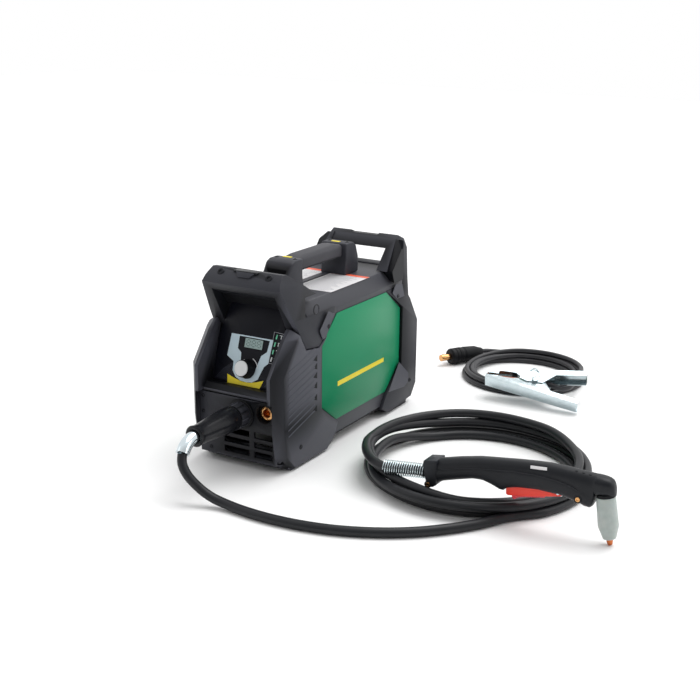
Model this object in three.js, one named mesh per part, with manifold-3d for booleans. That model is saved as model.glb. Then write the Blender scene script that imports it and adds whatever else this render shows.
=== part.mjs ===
// Portable inverter plasma cutter: power unit, hand torch on its lead, work lead with clamp.
// Millimetres. X is the width, the control panel faces -Y, +Z is up, z = 0 is the floor.
import * as THREE from 'three';
import { mergeVertices } from 'three/addons/utils/BufferGeometryUtils.js';
import Module from 'manifold-3d';

const wasm = await Module();
wasm.setup();

// ---- driving dimensions ----
const unitHalfWidth = 82;        // outside of the painted side panels
const bumperHalfWidth = 86;      // outside of the front and rear bumpers
const topHeight = 258;           // flat top of the shell
const hoopHeight = 315;          // front hood, rear hoop and carry handle
const frontY = -204;             // foremost face of the front bumper
const rearY = 255;               // rearmost face of the rear bumper
const wall = 3;                  // plastic wall
const clearance = 0.3;           // gap between touching pieces
const socketZ = 91;              // height of the torch socket
const torchSocketX = 8;
const workSocket = [52.5, 98];  // x and z of the brass work socket
const leadDiameter = 14.6;       // torch lead
const leadCoil = { x: 334.5, y: -19, inner: 141, outer: 172, height: 31 };
const leadCoilStretch = [1.055, 1.086];
const leadCoilTurn = 30;         // degrees
const workLeadDiameter = 9.6;
const workCoil = { x: 206, y: 487, inner: 84, outer: 120, height: 28 };
const torchTail = [319, -151, 0];
const torchYaw = -0.4;           // degrees about the vertical
const tipAxis = 278;             // from the tail of the torch to the axis of its tip
const clampPivot = [281.6, 357, 34];
const clampTurn = { yaw: 10, pitch: 2.2, roll: 21 };

// ---- materials ----
const finish = (color, roughness, metalness = 0) =>
  new THREE.MeshStandardMaterial({ color, roughness, metalness });
const blackPlastic = finish(0x2b2c30, 0.55);
const greyPlastic = finish(0x5a5b60, 0.5);
const darkPlastic = finish(0x17181b, 0.6);
const greenPaint = finish(0x0f7a52, 0.35);
const rubber = finish(0x1c1d20, 0.7);
const gripRubber = finish(0x47484c, 0.75);
const brass = finish(0xc79a5b, 0.3, 1);
const steel = finish(0xb9c4c8, 0.3, 1);
const aluminium = finish(0xa9adb0, 0.4, 1);
const copper = finish(0xb5673f, 0.35, 1);
const redPlastic = finish(0xe23a22, 0.4);
const safetyPlastic = finish(0xe85a5f, 0.4);
const cupCeramic = finish(0x9aa3a2, 0.5);
const boardGreen = finish(0x1d5a35, 0.5);
const glass = finish(0x9fb3b6, 0.15);
const white = finish(0xe6e8e8, 0.4);

// ---- solids ----
const root = new THREE.Group();
const unit = new THREE.Group();
const torch = new THREE.Group();
const clamp = new THREE.Group();
const leads = new THREE.Group();
root.add(unit, torch, clamp, leads);

function add(group, name, geometry, material) {
  const mesh = new THREE.Mesh(geometry, material);
  mesh.name = name;
  group.add(mesh);
  return mesh;
}

function toSolid(geometry) {
  const plain = geometry.clone();
  plain.deleteAttribute('normal');
  plain.deleteAttribute('uv');
  const merged = mergeVertices(plain, 1e-4);
  const mesh = new wasm.Mesh({
    numProp: 3,
    vertProperties: new Float32Array(merged.attributes.position.array),
    triVerts: new Uint32Array(merged.index.array),
  });
  return new wasm.Manifold(mesh);
}

function toGeometry(solid) {
  const mesh = solid.getMesh();
  const geometry = new THREE.BufferGeometry();
  geometry.setAttribute('position', new THREE.BufferAttribute(mesh.vertProperties, 3));
  geometry.setIndex(new THREE.BufferAttribute(mesh.triVerts, 1));
  geometry.computeVertexNormals();
  return geometry;
}

function cut(geometry, ...tools) {
  return toGeometry(tools.reduce((solid, tool) => solid.subtract(toSolid(tool)), toSolid(geometry)));
}

function join(...geometries) {
  return toGeometry(geometries.map(toSolid).reduce((whole, solid) => whole.add(solid)));
}

function overlap(...geometries) {
  return toGeometry(geometries.map(toSolid).reduce((whole, solid) => whole.intersect(solid)));
}

// ---- outlines swept along an axis ----
function outline(points) {
  return new THREE.Shape(points.map(([a, b]) => new THREE.Vector2(a, b)));
}

const basis = (x, y, z) => new THREE.Matrix4().makeBasis(x, y, z);
const axisX = new THREE.Vector3(1, 0, 0);
const axisY = new THREE.Vector3(0, 1, 0);
const axisZ = new THREE.Vector3(0, 0, 1);

function sweep(points, depth, holes = []) {
  const shape = points instanceof THREE.Shape ? points : outline(points);
  shape.holes.push(...holes);
  return new THREE.ExtrudeGeometry(shape, { depth, bevelEnabled: false, curveSegments: 20 });
}

// (y, z) outline swept from x0 to x1
function alongX(points, x0, x1) {
  return sweep(points, x1 - x0).applyMatrix4(basis(axisY, axisZ, axisX)).translate(x0, 0, 0);
}

// (x, z) outline swept from y0 to y1
function alongY(points, y0, y1, holes = []) {
  return sweep(points, y1 - y0, holes)
    .applyMatrix4(basis(axisX, axisZ, axisY.clone().negate()))
    .translate(0, y1, 0);
}

// (x, y) outline swept from z0 to z1
function alongZ(points, z0, z1) {
  return sweep(points, z1 - z0).translate(0, 0, z0);
}

function box(x0, x1, y0, y1, z0, z1) {
  return new THREE.BoxGeometry(x1 - x0, y1 - y0, z1 - z0)
    .translate((x0 + x1) / 2, (y0 + y1) / 2, (z0 + z1) / 2);
}

// (radius, distance) profile turned round an axis through a point
function turned(profile, axis, at, sides = 28) {
  const points = profile.map(([radius, distance]) => new THREE.Vector2(radius, distance));
  const direction = new THREE.Vector3(...axis).normalize();
  const spin = new THREE.Quaternion().setFromUnitVectors(axisY, direction);
  return new THREE.LatheGeometry(points, sides).applyQuaternion(spin).translate(...at);
}

function rod(radius, length, axis, at, sides = 24) {
  return turned([[0, 0], [radius, 0], [radius, length], [0, length]], axis, at, sides);
}

function ring(inner, outer, height, axis, at, sides = 32) {
  const profile = [[inner, 0], [outer, 0], [outer, height], [inner, height], [inner, 0]];
  return turned(profile, axis, at, sides);
}

function circle(radius, sides) {
  const points = [];
  for (let i = 0; i < sides; i += 1) {
    const angle = (2 * Math.PI * i) / sides;
    points.push([radius * Math.cos(angle), radius * Math.sin(angle)]);
  }
  return points;
}

function tube(points, diameter, steps, sides = 10) {
  const path = new THREE.CatmullRomCurve3(points.map((p) => new THREE.Vector3(...p)), false, 'centripetal');
  return new THREE.ExtrudeGeometry(outline(circle(diameter / 2, sides)), {
    steps, extrudePath: path, bevelEnabled: false,
  });
}

// ---- power unit: bumpers, hood and shell ----
const panelOutline = [[-24, 227], [142, 227], [194, 188], [194, 87], [143, 45], [-25, 45], [-74, 81],
  [-74, 183]];                   // y and z of the painted side panel

function shear(geometry, amount, x) {
  const matrix = new THREE.Matrix4().makeShear(amount, 0, 0, 0, 0, 0);
  return geometry.translate(-x, 0, 0).applyMatrix4(matrix).translate(x, 0, 0);
}

function withFeet(solid, profile) {
  return join(solid, alongX(profile, 58, 80), alongX(profile, -80, -58));
}

function frontBumper() {
  const profile = [[-172, 5], [-196, 30], [-203, 74], [frontY, 160], [-166, 211], [-150, 226],
    [-20, 226], [-20, 5]];
  const middle = 71;
  const lean = 16 / (bumperHalfWidth - middle);
  const right = shear(alongX(profile, middle, bumperHalfWidth), lean, middle);
  const left = shear(alongX(profile, -bumperHalfWidth, -middle), -lean, -middle);
  const blank = join(alongX(profile, -middle - 0.01, middle + 0.01), right, left);
  const keep = alongX([[-240, 5], [-60, 5], [-38, 18], [-25, 42], [-77, 79.5], [-77, 184.5],
    [-62, 198], [-85, 184], [-124, 189], [-150, 230], [-240, 230]], -100, 100);
  const inside = alongX([[-181, 14], [-181, 118], [-168, 128], [-134, 240], [10, 240], [10, 14]],
    -unitHalfWidth + wall + 1, unitHalfWidth - wall - 1);
  const shellRoom = alongX([[-109, 17], [-109, 240], [10, 240], [10, 17]], -80.1, 80.1);
  const fascia = alongX([[-230, 122], [-189, 122], [-181, 129], [10, 129], [10, 256], [-230, 256]],
    -65, 65);
  const socketWindow = box(-72.5, 72.5, -230, -160, 14, 118);
  const setBack = box(-66, 66, -230, -190.5, -5, 123);
  const body = cut(overlap(blank, keep), inside, shellRoom, fascia, socketWindow, setBack);
  return withFeet(body, [[-168, 7], [-160, 0], [-92, 0], [-84, 7]]);
}

function frontHood() {
  const arms = alongX([[-178, 291], [-172, 302], [-158, 313], [-148, 312], [-25, 237], [-25, 229],
    [-62, 200], [-86, 187], [-122, 191]], -100, 100);
  const taper = alongY([[-86, 180], [86, 180], [80, 240], [73, 291], [65, 314], [-65, 314],
    [-73, 291], [-80, 240]], -200, 0);
  const opening = alongX([[-220, 150], [-220, 281], [-174, 281], [-146, 268], [-118, 262], [-92, 276],
    [0, 276], [0, 150]], -59, 59);
  const shellRoom = alongX([[-132, 150], [-112, 270], [20, 270], [20, 150]], -unitHalfWidth + 2,
    unitHalfWidth - 2);
  const behind = alongX([[-146, 330], [-118, 262], [0, 262], [0, 330]], -60, 60);
  return cut(overlap(arms, taper), opening, behind, shellRoom);
}

function shell() {
  const half = unitHalfWidth - 2.2;
  const outside = [[-half, 20], [half, 20], [half, 236], [64, topHeight], [-64, topHeight], [-half, 236]];
  const inner = [[-half + wall, 10], [half - wall, 10], [half - wall, 234], [62, topHeight - wall],
    [-62, topHeight - wall], [-half + wall, 234]];
  return cut(alongY(outside, -108, 205), alongY(inner, -120, 220));
}

function sidePanel(side) {
  const x = side * unitHalfWidth;
  return side > 0 ? alongX(panelOutline, x - 1.7, x) : alongX(panelOutline, x, x + 1.7);
}

function rearBumper() {
  const profile = [[127, 18], [150, 5], [238, 12], [rearY, 34], [rearY, 154], [220, 207], [238, 289],
    [230, 306], [210, hoopHeight], [200, 309], [150, 256], [143, 232], [145, 228], [197, 190],
    [197, 85], [145, 43]];
  const taper = alongY([[-86, 0], [86, 0], [86, 200], [78, 240], [70, 289], [66, 316], [-66, 316],
    [-70, 289], [-78, 240], [-86, 200]], 0, 300);
  const opening = alongX([[100, 259.5], [300, 259.5], [300, 294], [100, 294]], -54, 54);
  const body = alongX([[100, 14], [206, 14], [206, 260], [100, 260]],
    -unitHalfWidth + 1.9, unitHalfWidth - 1.9);
  const rearWindow = box(-68, 68, 190, 300, 26, 240);
  const frame = cut(overlap(alongX(profile, -100, 100), taper), opening, body, rearWindow);
  return withFeet(frame, [[156, 9], [164, 0], [228, 0], [236, 13]]);
}

function baseTray() {
  const plan = [[-76, -160], [76, -160], [76, 200], [-76, 200]];
  return join(alongZ(plan, 15, 17), box(-76, 76, -160, -158, 15, 30), box(-76, 76, 198, 200, 15, 30));
}

// ---- control panel and its pieces ----
const fasciaTilt = Math.atan2(39, 123);      // leans back from the vertical
const fasciaFoot = [-169.8, 127.8];          // y and z of the lower edge
const fasciaLength = 129;

function onFascia(geometry) {
  return geometry.rotateX(Math.PI / 2 - fasciaTilt).translate(0, fasciaFoot[0], fasciaFoot[1]);
}

const knobAt = [0, 28.4];        // x and height up the panel
const displayAt = [4.5, 69];
const displayHalf = [17, 7.4];
const lensBox = [41, 45, 46, 90];

function fasciaWindow(grow, z0, z1) {
  const [x, y] = displayAt;
  const [w, h] = displayHalf.map((half) => half + grow);
  return box(x - w, x + w, y - h, y + h, z0, z1);
}

function fasciaLens(grow, z0, z1) {
  const [x0, x1, y0, y1] = lensBox;
  return box(x0 - grow, x1 + grow, y0 - grow, y1 + grow, z0, z1);
}

function controlPanel() {
  const plate = alongZ([[-62.5, 2], [62.5, 2], [63.5, 30], [63.5, 74], [49.5, fasciaLength],
    [-49.5, fasciaLength], [-63.5, 74], [-63.5, 30]], -3, 0);
  const shaftHole = rod(4.2, 10, [0, 0, 1], [...knobAt, -6], 20);
  const windowHole = fasciaWindow(clearance, -6, 4);
  const lensHole = fasciaLens(clearance, -6, 4);
  return onFascia(cut(plate, shaftHole, windowHole, lensHole));
}

function displayWindow() {
  return onFascia(fasciaWindow(0, -3, 0.4));
}

function statusLens() {
  return onFascia(fasciaLens(0, -3, 0.4));
}

function knob() {
  const profile = [[0, 1], [15, 1], [15.5, 3], [13.5, 17], [12.5, 18.5], [0, 18.5]];
  const bore = rod(3.4, 9, [0, 0, 1], [...knobAt, 0], 20);
  return onFascia(cut(turned(profile, [0, 0, 1], [...knobAt, 0], 32), bore));
}

function controlBoard() {
  const encoder = box(knobAt[0] - 6, knobAt[0] + 6, knobAt[1] - 6, knobAt[1] + 6, -13, -5);
  const shaft = rod(3, 13.4, [0, 0, 1], [...knobAt, -5.2], 20);
  return onFascia(join(box(-40, 40, 8, 108, -14.5, -12.6), encoder, shaft));
}

// ---- sockets, lower front panel and vents ----
const [workX, workZ] = workSocket;

function frontPlate() {
  const plate = box(-72, 72, -190, -185, 14.4, 115.6);
  const tools = [
    rod(21, 20, [0, 1, 0], [torchSocketX, -200, socketZ], 32),
    rod(17.5, 20, [0, 1, 0], [workX, -200, workZ], 32),
  ];
  for (let row = 0; row < 3; row += 1) {
    const z = 22 + row * 16;
    tools.push(box(31, 66, -195, -175, z, z + 10));
    tools.push(box(-26, 22, -195, -175, z, z + 10));
  }
  return cut(plate, ...tools);
}

function workInsulator() {
  const profile = [[14.6, 0], [19.2, 0], [19.2, 3], [17.1, 3], [17.1, 18], [9.9, 18], [9.9, 10.5],
    [14.6, 10.5], [14.6, 0]];
  return turned(profile, [0, 1, 0], [workX, -193.4, workZ], 32);
}

function workBrass() {
  const hex = turned([[0, 0], [12.5, 0], [12.5, 3], [0, 3]], [0, 1, 0], [workX, -186.6, workZ], 6);
  const barrel = rod(9.5, 19, [0, 1, 0], [workX, -184.4, workZ], 24);
  const bore = rod(6.7, 18, [0, 1, 0], [workX, -188, workZ], 24);
  const keyway = box(workX - 1.9, workX + 1.9, -188, -176, workZ, workZ + 8.6);
  return cut(join(hex, barrel), bore, keyway);
}

function torchSocket() {
  const profile = [[12, 0], [17, 0], [17, 8], [24, 8], [24, 11], [20.6, 11], [20.6, 30], [12, 30], [12, 0]];
  return turned(profile, [0, 1, 0], [torchSocketX, -201.4, socketZ], 32);
}

function couplingNut() {
  const blank = ring(17.4, 20.5, 21.8, [0, 1, 0], [torchSocketX, -215.7, socketZ], 36);
  const flutes = [];
  for (let i = 0; i < 12; i += 1) {
    const angle = (i * Math.PI) / 6;
    const at = [torchSocketX + 22 * Math.cos(angle), -218, socketZ + 22 * Math.sin(angle)];
    flutes.push(rod(2.4, 20, [0, 1, 0], at, 8));
  }
  return cut(blank, ...flutes);
}

// ---- lead boot and the bent sleeve at its mouth ----
const bootMouth = [6, -309, 90];
const bootStart = [torchSocketX, -199, socketZ];

function leadBoot() {
  const direction = new THREE.Vector3(...bootStart).sub(new THREE.Vector3(...bootMouth));
  const length = direction.length();
  const profile = [[11, 0], [17, 0], [16, 5], [15.5, 10], [19, 62], [20, 78], [19.8, 92], [16.6, 92.6],
    [16.6, length - 16.5], [11.6, length - 16], [11.6, length], [8, length], [8, 14], [11, 10], [11, 0]];
  return turned(profile, direction.toArray(), bootMouth, 32);
}

const sleeveRoute = [[6, -301, 90], [6, -310, 89.6], [6, -322, 87], [7, -333, 81], [8, -340, 74]];

function leadSleeve() {
  const path = new THREE.CatmullRomCurve3(sleeveRoute.map((p) => new THREE.Vector3(...p)));
  const shape = outline(circle(10.3, 20));
  shape.holes.push(outline(circle(7.9, 16)));
  return new THREE.ExtrudeGeometry(shape, { steps: 14, extrudePath: path, bevelEnabled: false });
}

// ---- carry handle ----
function handlePost(front) {
  const foot = topHeight + clearance;
  const profile = front
    ? [[-90, foot], [-86, 284], [-70, 309], [-60, 313], [-38, 313], [-38, 284], [-32, foot]]
    : [[97, foot], [100, 284], [100, 313], [124, 313], [134, 306], [142, 285], [142, foot]];
  return alongX(profile, -25, 25);
}

function handleGrip() {
  const profile = [[-37.7, 311], [-37.7, 288], [-28, 291], [90, 291], [99.7, 288], [99.7, 311], [80, 314.5],
    [-18, 314.5]];
  const section = alongY([[-17, 292], [-12, 287], [12, 287], [17, 292], [17, 307], [11, 315],
    [-11, 315], [-17, 307]], -60, 120);
  return overlap(alongX(profile, -17, 17), section);
}

// ---- rear panel and what passes through it ----
const gland = [-42, 52];         // x and z
const inlet = [0, 46];
const rocker = [42, 56];
const fanAt = [0, 155];
const panelY = 207;

function rearPanel() {
  const tools = [
    rod(8.3, 10, [0, 1, 0], [gland[0], panelY - 4, gland[1]], 20),
    rod(7.3, 10, [0, 1, 0], [inlet[0], panelY - 4, inlet[1]], 20),
    box(rocker[0] - 11.3, rocker[0] + 11.3, panelY - 5, panelY + 8, rocker[1] - 14.8, rocker[1] + 14.8),
  ];
  for (let row = -3; row <= 3; row += 1) {
    const z = fanAt[1] + row * 11.5;
    const half = Math.sqrt(42 ** 2 - (row * 11.5) ** 2);
    tools.push(box(-half, half, panelY - 5, panelY + 8, z - 3.6, z + 3.6));
  }
  return cut(box(-67.6, 67.6, panelY, panelY + 3, 26.4, 239.6), ...tools);
}

function cableGland() {
  const profile = [[4.6, 0], [8, 0], [8, 7], [11, 7], [11, 14], [9, 15], [7, 27], [4.6, 27], [4.6, 0]];
  return turned(profile, [0, 1, 0], [gland[0], panelY - 3.7, gland[1]], 24);
}

function airInlet() {
  const profile = [[0, 0], [7, 0], [7, 7], [10, 7], [10, 15], [5.6, 15], [6.6, 18], [5.2, 22], [6.2, 24],
    [4.8, 29], [0, 29]];
  const body = turned(profile, [0, 1, 0], [inlet[0], panelY - 3.7, inlet[1]], 24);
  return cut(body, rod(3, 20, [0, 1, 0], [inlet[0], panelY + 6, inlet[1]], 16));
}

function switchHousing() {
  const [x, z] = rocker;
  const blank = join(box(x - 11, x + 11, panelY - 18, panelY + 3.3, z - 14.5, z + 14.5),
    box(x - 13, x + 13, panelY + 3.3, panelY + 5.3, z - 17, z + 17));
  return cut(blank, box(x - 8.6, x + 8.6, panelY - 9, panelY + 9, z - 12.6, z + 12.6));
}

function switchRocker() {
  const [x, z] = rocker;
  const pivot = panelY - 1;
  const profile = [[pivot - 1, z - 8], [pivot + 2.6, z - 10], [pivot + 5.5, z - 0.5], [pivot + 9, z + 9.5],
    [pivot + 1, z + 9.8], [pivot - 4, z]];
  return alongX(profile, x - 8.2, x + 8.2);
}

function fanFrame() {
  const [x, z] = fanAt;
  const blank = box(x - 46, x + 46, 178, 203, z - 46, z + 46);
  const bore = rod(43.4, 40, [0, 1, 0], [x, 180.6, z], 40);
  const web = rod(43.4, 4, [0, 1, 0], [x, 177, z], 40);
  const spokes = join(
    box(x - 45, x + 45, 177, 181, z - 2, z + 2),
    box(x - 2, x + 2, 177, 181, z - 45, z + 45),
    rod(15, 4, [0, 1, 0], [x, 177, z], 24),
  );
  return cut(blank, bore, cut(web, spokes));
}

function fanRotor() {
  const [x, z] = fanAt;
  const pieces = [rod(17, 18, [0, 1, 0], [x, 181.4, z], 28)];
  for (let i = 0; i < 7; i += 1) {
    const blade = new THREE.BoxGeometry(29, 1.6, 22).rotateX(Math.PI / 4).translate(27, 0, 0);
    blade.rotateY((2 * Math.PI * i) / 7).translate(x, 191, z);
    pieces.push(blade);
  }
  return join(...pieces);
}

// ---- inside the shell ----
function heatSink() {
  const pieces = [box(-58, 58, -50, 110, 120, 127)];
  for (let i = 0; i < 9; i += 1) {
    const x = -54 + i * 13.5;
    pieces.push(box(x - 1.4, x + 1.4, -50, 110, 126, 160));
  }
  return join(...pieces);
}

function transformer() {
  const core = cut(box(-34, 34, -40, 30, 34, 88), box(-20, 20, -60, 50, 46, 76));
  return join(core, box(-9, 9, -40, 30, 40, 80));
}

function solenoidValve() {
  return join(box(-60, -36, 60, 96, 22, 50), rod(11, 34, [0, 0, 1], [-48, 78, 49], 20));
}

// ---- torch, in a frame of its own: x from tail to tip, z up ----
const shellHalf = 15.2;
const headRadius = 14.5;
const triggerPivot = [203, 62.8];

const torchOutline = [[17.6, 34], [25, 40], [49, 47.5], [73, 54], [88, 55.5], [104, 51.5], [114, 47.3],
  [122, 45], [124, 51.6], [142, 56], [172, 60], [210, 59], [222, 56], [236, 53.6], [245, 49.7], [258, 50.5],
  [262, 60], [263, 72.4], [294, 72.4], [294, 88], [288, 96], [278, 98.8], [229, 100.3], [207, 101.3],
  [185, 101], [163, 99], [140, 96.5], [110, 92.5], [79, 88], [48, 81], [17.6, 72.6]];

function rounded(points, half, edge) {
  const shape = outline(points);
  const geometry = new THREE.ExtrudeGeometry(shape, {
    depth: 2 * (half - edge), bevelThickness: edge, bevelSize: edge, bevelOffset: -edge, bevelSegments: 2,
  });
  return geometry.applyMatrix4(basis(axisX, axisZ, axisY.clone().negate())).translate(0, half - edge, 0);
}

function torchPlan() {
  const plan = [[10, -14.2], [60, -13.4], [115, -shellHalf], [200, -shellHalf], [tipAxis, -headRadius]];
  for (let i = 1; i < 9; i += 1) {
    const angle = -Math.PI / 2 + (i * Math.PI) / 9;
    plan.push([tipAxis + headRadius * Math.cos(angle), headRadius * Math.sin(angle)]);
  }
  const back = [[tipAxis, headRadius], [200, shellHalf], [115, shellHalf], [60, 13.4], [10, 14.2]];
  return alongZ([...plan, ...back], 0, 120);
}

function torchShell(side) {
  const body = overlap(rounded(torchOutline, shellHalf, 5.2), torchPlan());
  const half = side > 0 ? box(0, 300, 0.15, 40, 0, 120) : box(0, 300, -40, -0.15, 0, 120);
  const room = alongY([[14, 40], [30, 48], [80, 61], [112, 60], [215, 66], [262, 66], [262, 90], [200, 95],
    [110, 86], [30, 70], [14, 62]], -11.4, 11.4);
  const slot = box(119, 213, -9, 9, 30, 74);
  const headBore = rod(10.4, 40, [0, 0, 1], [tipAxis, 0, 52], 28);
  const pinHole = rod(2.3, 24, [0, 1, 0], [triggerPivot[0], -12, triggerPivot[1]], 16);
  return cut(overlap(body, half), room, slot, headBore, pinHole);
}

function torchCollar() {
  const outlinePoints = [[4, 27.8], [12.3, 30.5], [17.2, 34], [17.2, 72.8], [-4, 69], [-5.2, 61],
    [0.4, 37.4]];
  const bore = rod(8.9, 24, [1, 0, 0], [-10, 0, 46.8], 24);
  return cut(rounded(outlinePoints, 15.6, 2), bore);
}

function trigger() {
  const profile = [[125, 55], [125, 43], [128, 41.6], [190, 54.3], [207, 58.6], [209.6, 62.8], [207, 68],
    [199, 68], [150, 63]];
  const pinHole = rod(2.3, 30, [0, 1, 0], [triggerPivot[0], -15, triggerPivot[1]], 16);
  return cut(alongY(profile, -8.5, 8.5), pinHole);
}

function triggerPin() {
  return rod(2, 22, [0, 1, 0], [triggerPivot[0], -11, triggerPivot[1]], 16);
}

function triggerRelease() {
  return alongY([[133, 42.2], [136, 37.2], [141, 39.4], [148, 42.8], [182.5, 50], [183.5, 52.4]], -6, 6);
}

function microSwitch() {
  return box(128, 148, -6, 6, 74.5, 84);
}

function torchHead() {
  const profile = [[0, 0], [4, 0], [4, 6], [10, 8], [10, 34], [0, 34]];
  return turned(profile, [0, 0, 1], [tipAxis, 0, 57.4], 28);
}

function shieldCup() {
  const profile = [[10.6, 71], [10.6, 30], [4.9, 14], [4.9, 9.5], [9, 9.5], [14.6, 28], [13.4, 71],
    [10.6, 71]];
  return turned(profile, [0, 0, 1], [tipAxis, 0, 0], 32);
}

function cuttingTip() {
  return cut(turned([[0, 0], [1.8, 0], [4.5, 4.5], [4.5, 26], [0, 26]], [0, 0, 1], [tipAxis, 0, 0], 24),
    rod(0.9, 6, [0, 0, 1], [tipAxis, 0, -2], 10));
}

function electrode() {
  return rod(3.6, 30.6, [0, 0, 1], [tipAxis, 0, 26.4], 20);
}

class Helix extends THREE.Curve {
  constructor(start, end, radius, turns) {
    super();
    this.start = new THREE.Vector3(...start);
    this.along = new THREE.Vector3(...end).sub(this.start);
    this.radius = radius;
    this.turns = turns;
    const direction = this.along.clone().normalize();
    const reference = Math.abs(direction.z) > 0.9 ? axisX : axisZ;
    this.side = new THREE.Vector3().crossVectors(direction, reference).normalize();
    this.up = new THREE.Vector3().crossVectors(this.side, direction);
  }

  getPoint(t, target = new THREE.Vector3()) {
    const angle = 2 * Math.PI * this.turns * t;
    return target.copy(this.start)
      .addScaledVector(this.along, t)
      .addScaledVector(this.side, this.radius * Math.cos(angle))
      .addScaledVector(this.up, this.radius * Math.sin(angle));
  }
}

function coilSpring(start, end, radius, wire, turns, stepsPerTurn = 11) {
  return new THREE.ExtrudeGeometry(outline(circle(wire / 2, 6)), {
    steps: turns * stepsPerTurn, extrudePath: new Helix(start, end, radius, turns), bevelEnabled: false,
  });
}

// ---- cords ----
function coilRing(coil, grow = 0) {
  return ring(coil.inner - grow, coil.outer + grow, coil.height + grow, axisZ.toArray(), [0, 0, 0], 48);
}

function leadCoilSolid(grow) {
  return coilRing(leadCoil, grow)
    .scale(leadCoilStretch[0], leadCoilStretch[1], 1)
    .rotateZ(THREE.MathUtils.degToRad(leadCoilTurn))
    .translate(leadCoil.x, leadCoil.y, 0);
}

function workCoilSolid(grow) {
  return coilRing(workCoil, grow).translate(workCoil.x, workCoil.y, 0);
}

const leadRoute = [[8, -340.4, 73.4], [12, -346, 60], [23, -347, 44], [41, -342, 26], [60, -338, 15],
  [82, -336, 9.6], [110, -338, 7.7], [140, -340, 7.5], [169, -340, 7.5], [209, -336, 7.5], [253, -326, 7.5],
  [292, -311, 7.5], [329, -291, 7.5], [363, -266, 7.5], [394, -235, 7.5], [423, -198, 7.5],
  [448, -156, 7.5], [466, -118, 7.5]];

const leadEndRoute = [[164, -42, 37], [171, -72, 41], [183, -101, 45], [199, -128, 47.5],
  [222, -152, 46], [248, -163, 44.2], [275, -160, 45.4], [300, -154, 46.4], [331, -151, 46.8]];

const springStart = [250, -163.4, 44.3];
const springEnd = [313.6, -151.6, 46.7];

function aroundWorkCoil(degrees, radius, z) {
  const angle = THREE.MathUtils.degToRad(degrees);
  return [workCoil.x + radius * Math.cos(angle), workCoil.y + radius * Math.sin(angle), z];
}

const plugHeading = [0.49, 0.872, 0];
const plugStart = [46, 485, 16.6];     // outer end of the sleeve
const plugLength = 80;

function plugSleeve() {
  const profile = [[6.8, 0], [14.5, 0], [16.2, 3], [16.2, 26], [15, 28], [15, 32], [16, 34], [14, 62],
    [8.4, plugLength], [5.7, plugLength], [5.7, plugLength - 14], [0, plugLength - 14], [0, 12],
    [6.8, 12], [6.8, 0]];
  return turned(profile, plugHeading, plugStart, 28);
}

function plugPin() {
  const at = plugStart.map((value, i) => value - 22 * plugHeading[i]);
  const blank = rod(6.5, 33.6, plugHeading, at, 24);
  const lug = new THREE.BoxGeometry(3, 3, 4).applyQuaternion(
    new THREE.Quaternion().setFromUnitVectors(axisY, new THREE.Vector3(...plugHeading)));
  lug.translate(at[0] + 6.5 * plugHeading[0], at[1] + 6.5 * plugHeading[1], at[2] + 5.7);
  return join(blank, lug);
}

function plugCordRoute() {
  const inside = plugStart.map((value, i) => value + (plugLength - 13.5) * plugHeading[i]);
  const mouth = plugStart.map((value, i) => value + (plugLength + 8) * plugHeading[i]);
  return [inside, mouth, aroundWorkCoil(136, 133, 14), aroundWorkCoil(124, 126, 11),
    aroundWorkCoil(110, 116, 8)];
}

// ---- work clamp, in a frame of its own: jaws at -x, handles at +x, pivot along z ----
clamp.position.set(...clampPivot);
clamp.rotation.set(
  THREE.MathUtils.degToRad(clampTurn.roll),
  THREE.MathUtils.degToRad(clampTurn.pitch),
  THREE.MathUtils.degToRad(clampTurn.yaw),
  'ZYX',
);

const armOutline = [[-92, 1.2], [-92, 11], [-80, 14], [84, 46.6], [88, 45.4], [88, 35], [34, 23], [15, -6],
  [-15, -6], [-34, 1.2]];
const armBack = [[-100, -20], [-100, 9.2], [-92, 9.2], [-80, 12.2], [84, 44.8], [100, 48], [100, -20]];

function clampArm(side, half, gauge) {
  const flip = (points) => (side > 0 ? points : points.map(([x, y]) => [x, -y]).reverse());
  const blank = alongZ(flip(armOutline), -half, half);
  const channel = alongZ(flip(armBack), -half + gauge, half - gauge);
  const pinHole = rod(4.1, 60, [0, 0, 1], [0, 0, -30], 20);
  const boltHole = rod(3.3, 30, [0, side, 0], [-80, side * 6, 0], 16);
  return side > 0 ? cut(blank, channel, pinHole, boltHole) : cut(blank, channel, pinHole);
}

function clampPivotPin() {
  const profile = [[0, -15], [6.6, -15], [6.6, -12.8], [3.8, -12.8], [3.8, 12.8], [6.6, 12.8],
    [6.6, 15], [0, 15]];
  return turned(profile, [0, 0, 1], [0, 0, 0], 24);
}

function clampSpring() {
  return coilSpring([0, 0, -7], [0, 0, 7], 6.6, 2, 5);
}

function lugBolt() {
  const head = turned([[0, 0], [6.4, 0], [6.4, 4], [0, 4]], [0, 1, 0], [-80, 15.8, 0], 6);
  return join(head, rod(3, 8.2, [0, 1, 0], [-80, 7.7, 0], 16));
}

function copperBraid() {
  return alongZ([[-69.6, 1], [-69.6, 4], [-30, 7.4], [-24, 5.6], [-24, 3.4], [-30, 2.2]], -5.5, 5.5);
}

function clampPoint(x, y) {
  clamp.updateMatrix();
  return new THREE.Vector3(x, y, 0).applyMatrix4(clamp.matrix).toArray();
}

function clampCordRoute() {
  const underArm = [[327, 455, 24], [330.5, 416, 23.6], [329.3, 401, 23.6], [323.1, 387.6, 25.4],
    [312.8, 377.3, 30.4], [296, 370.5, 36]];
  const inside = [[0, 16], [-25, 15.8], [-46, 13]].map(([x, y]) => clampPoint(x, y));
  return [aroundWorkCoil(24, 112, 22.5), [320, 494, 23.4], ...underArm, ...inside];
}

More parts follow.
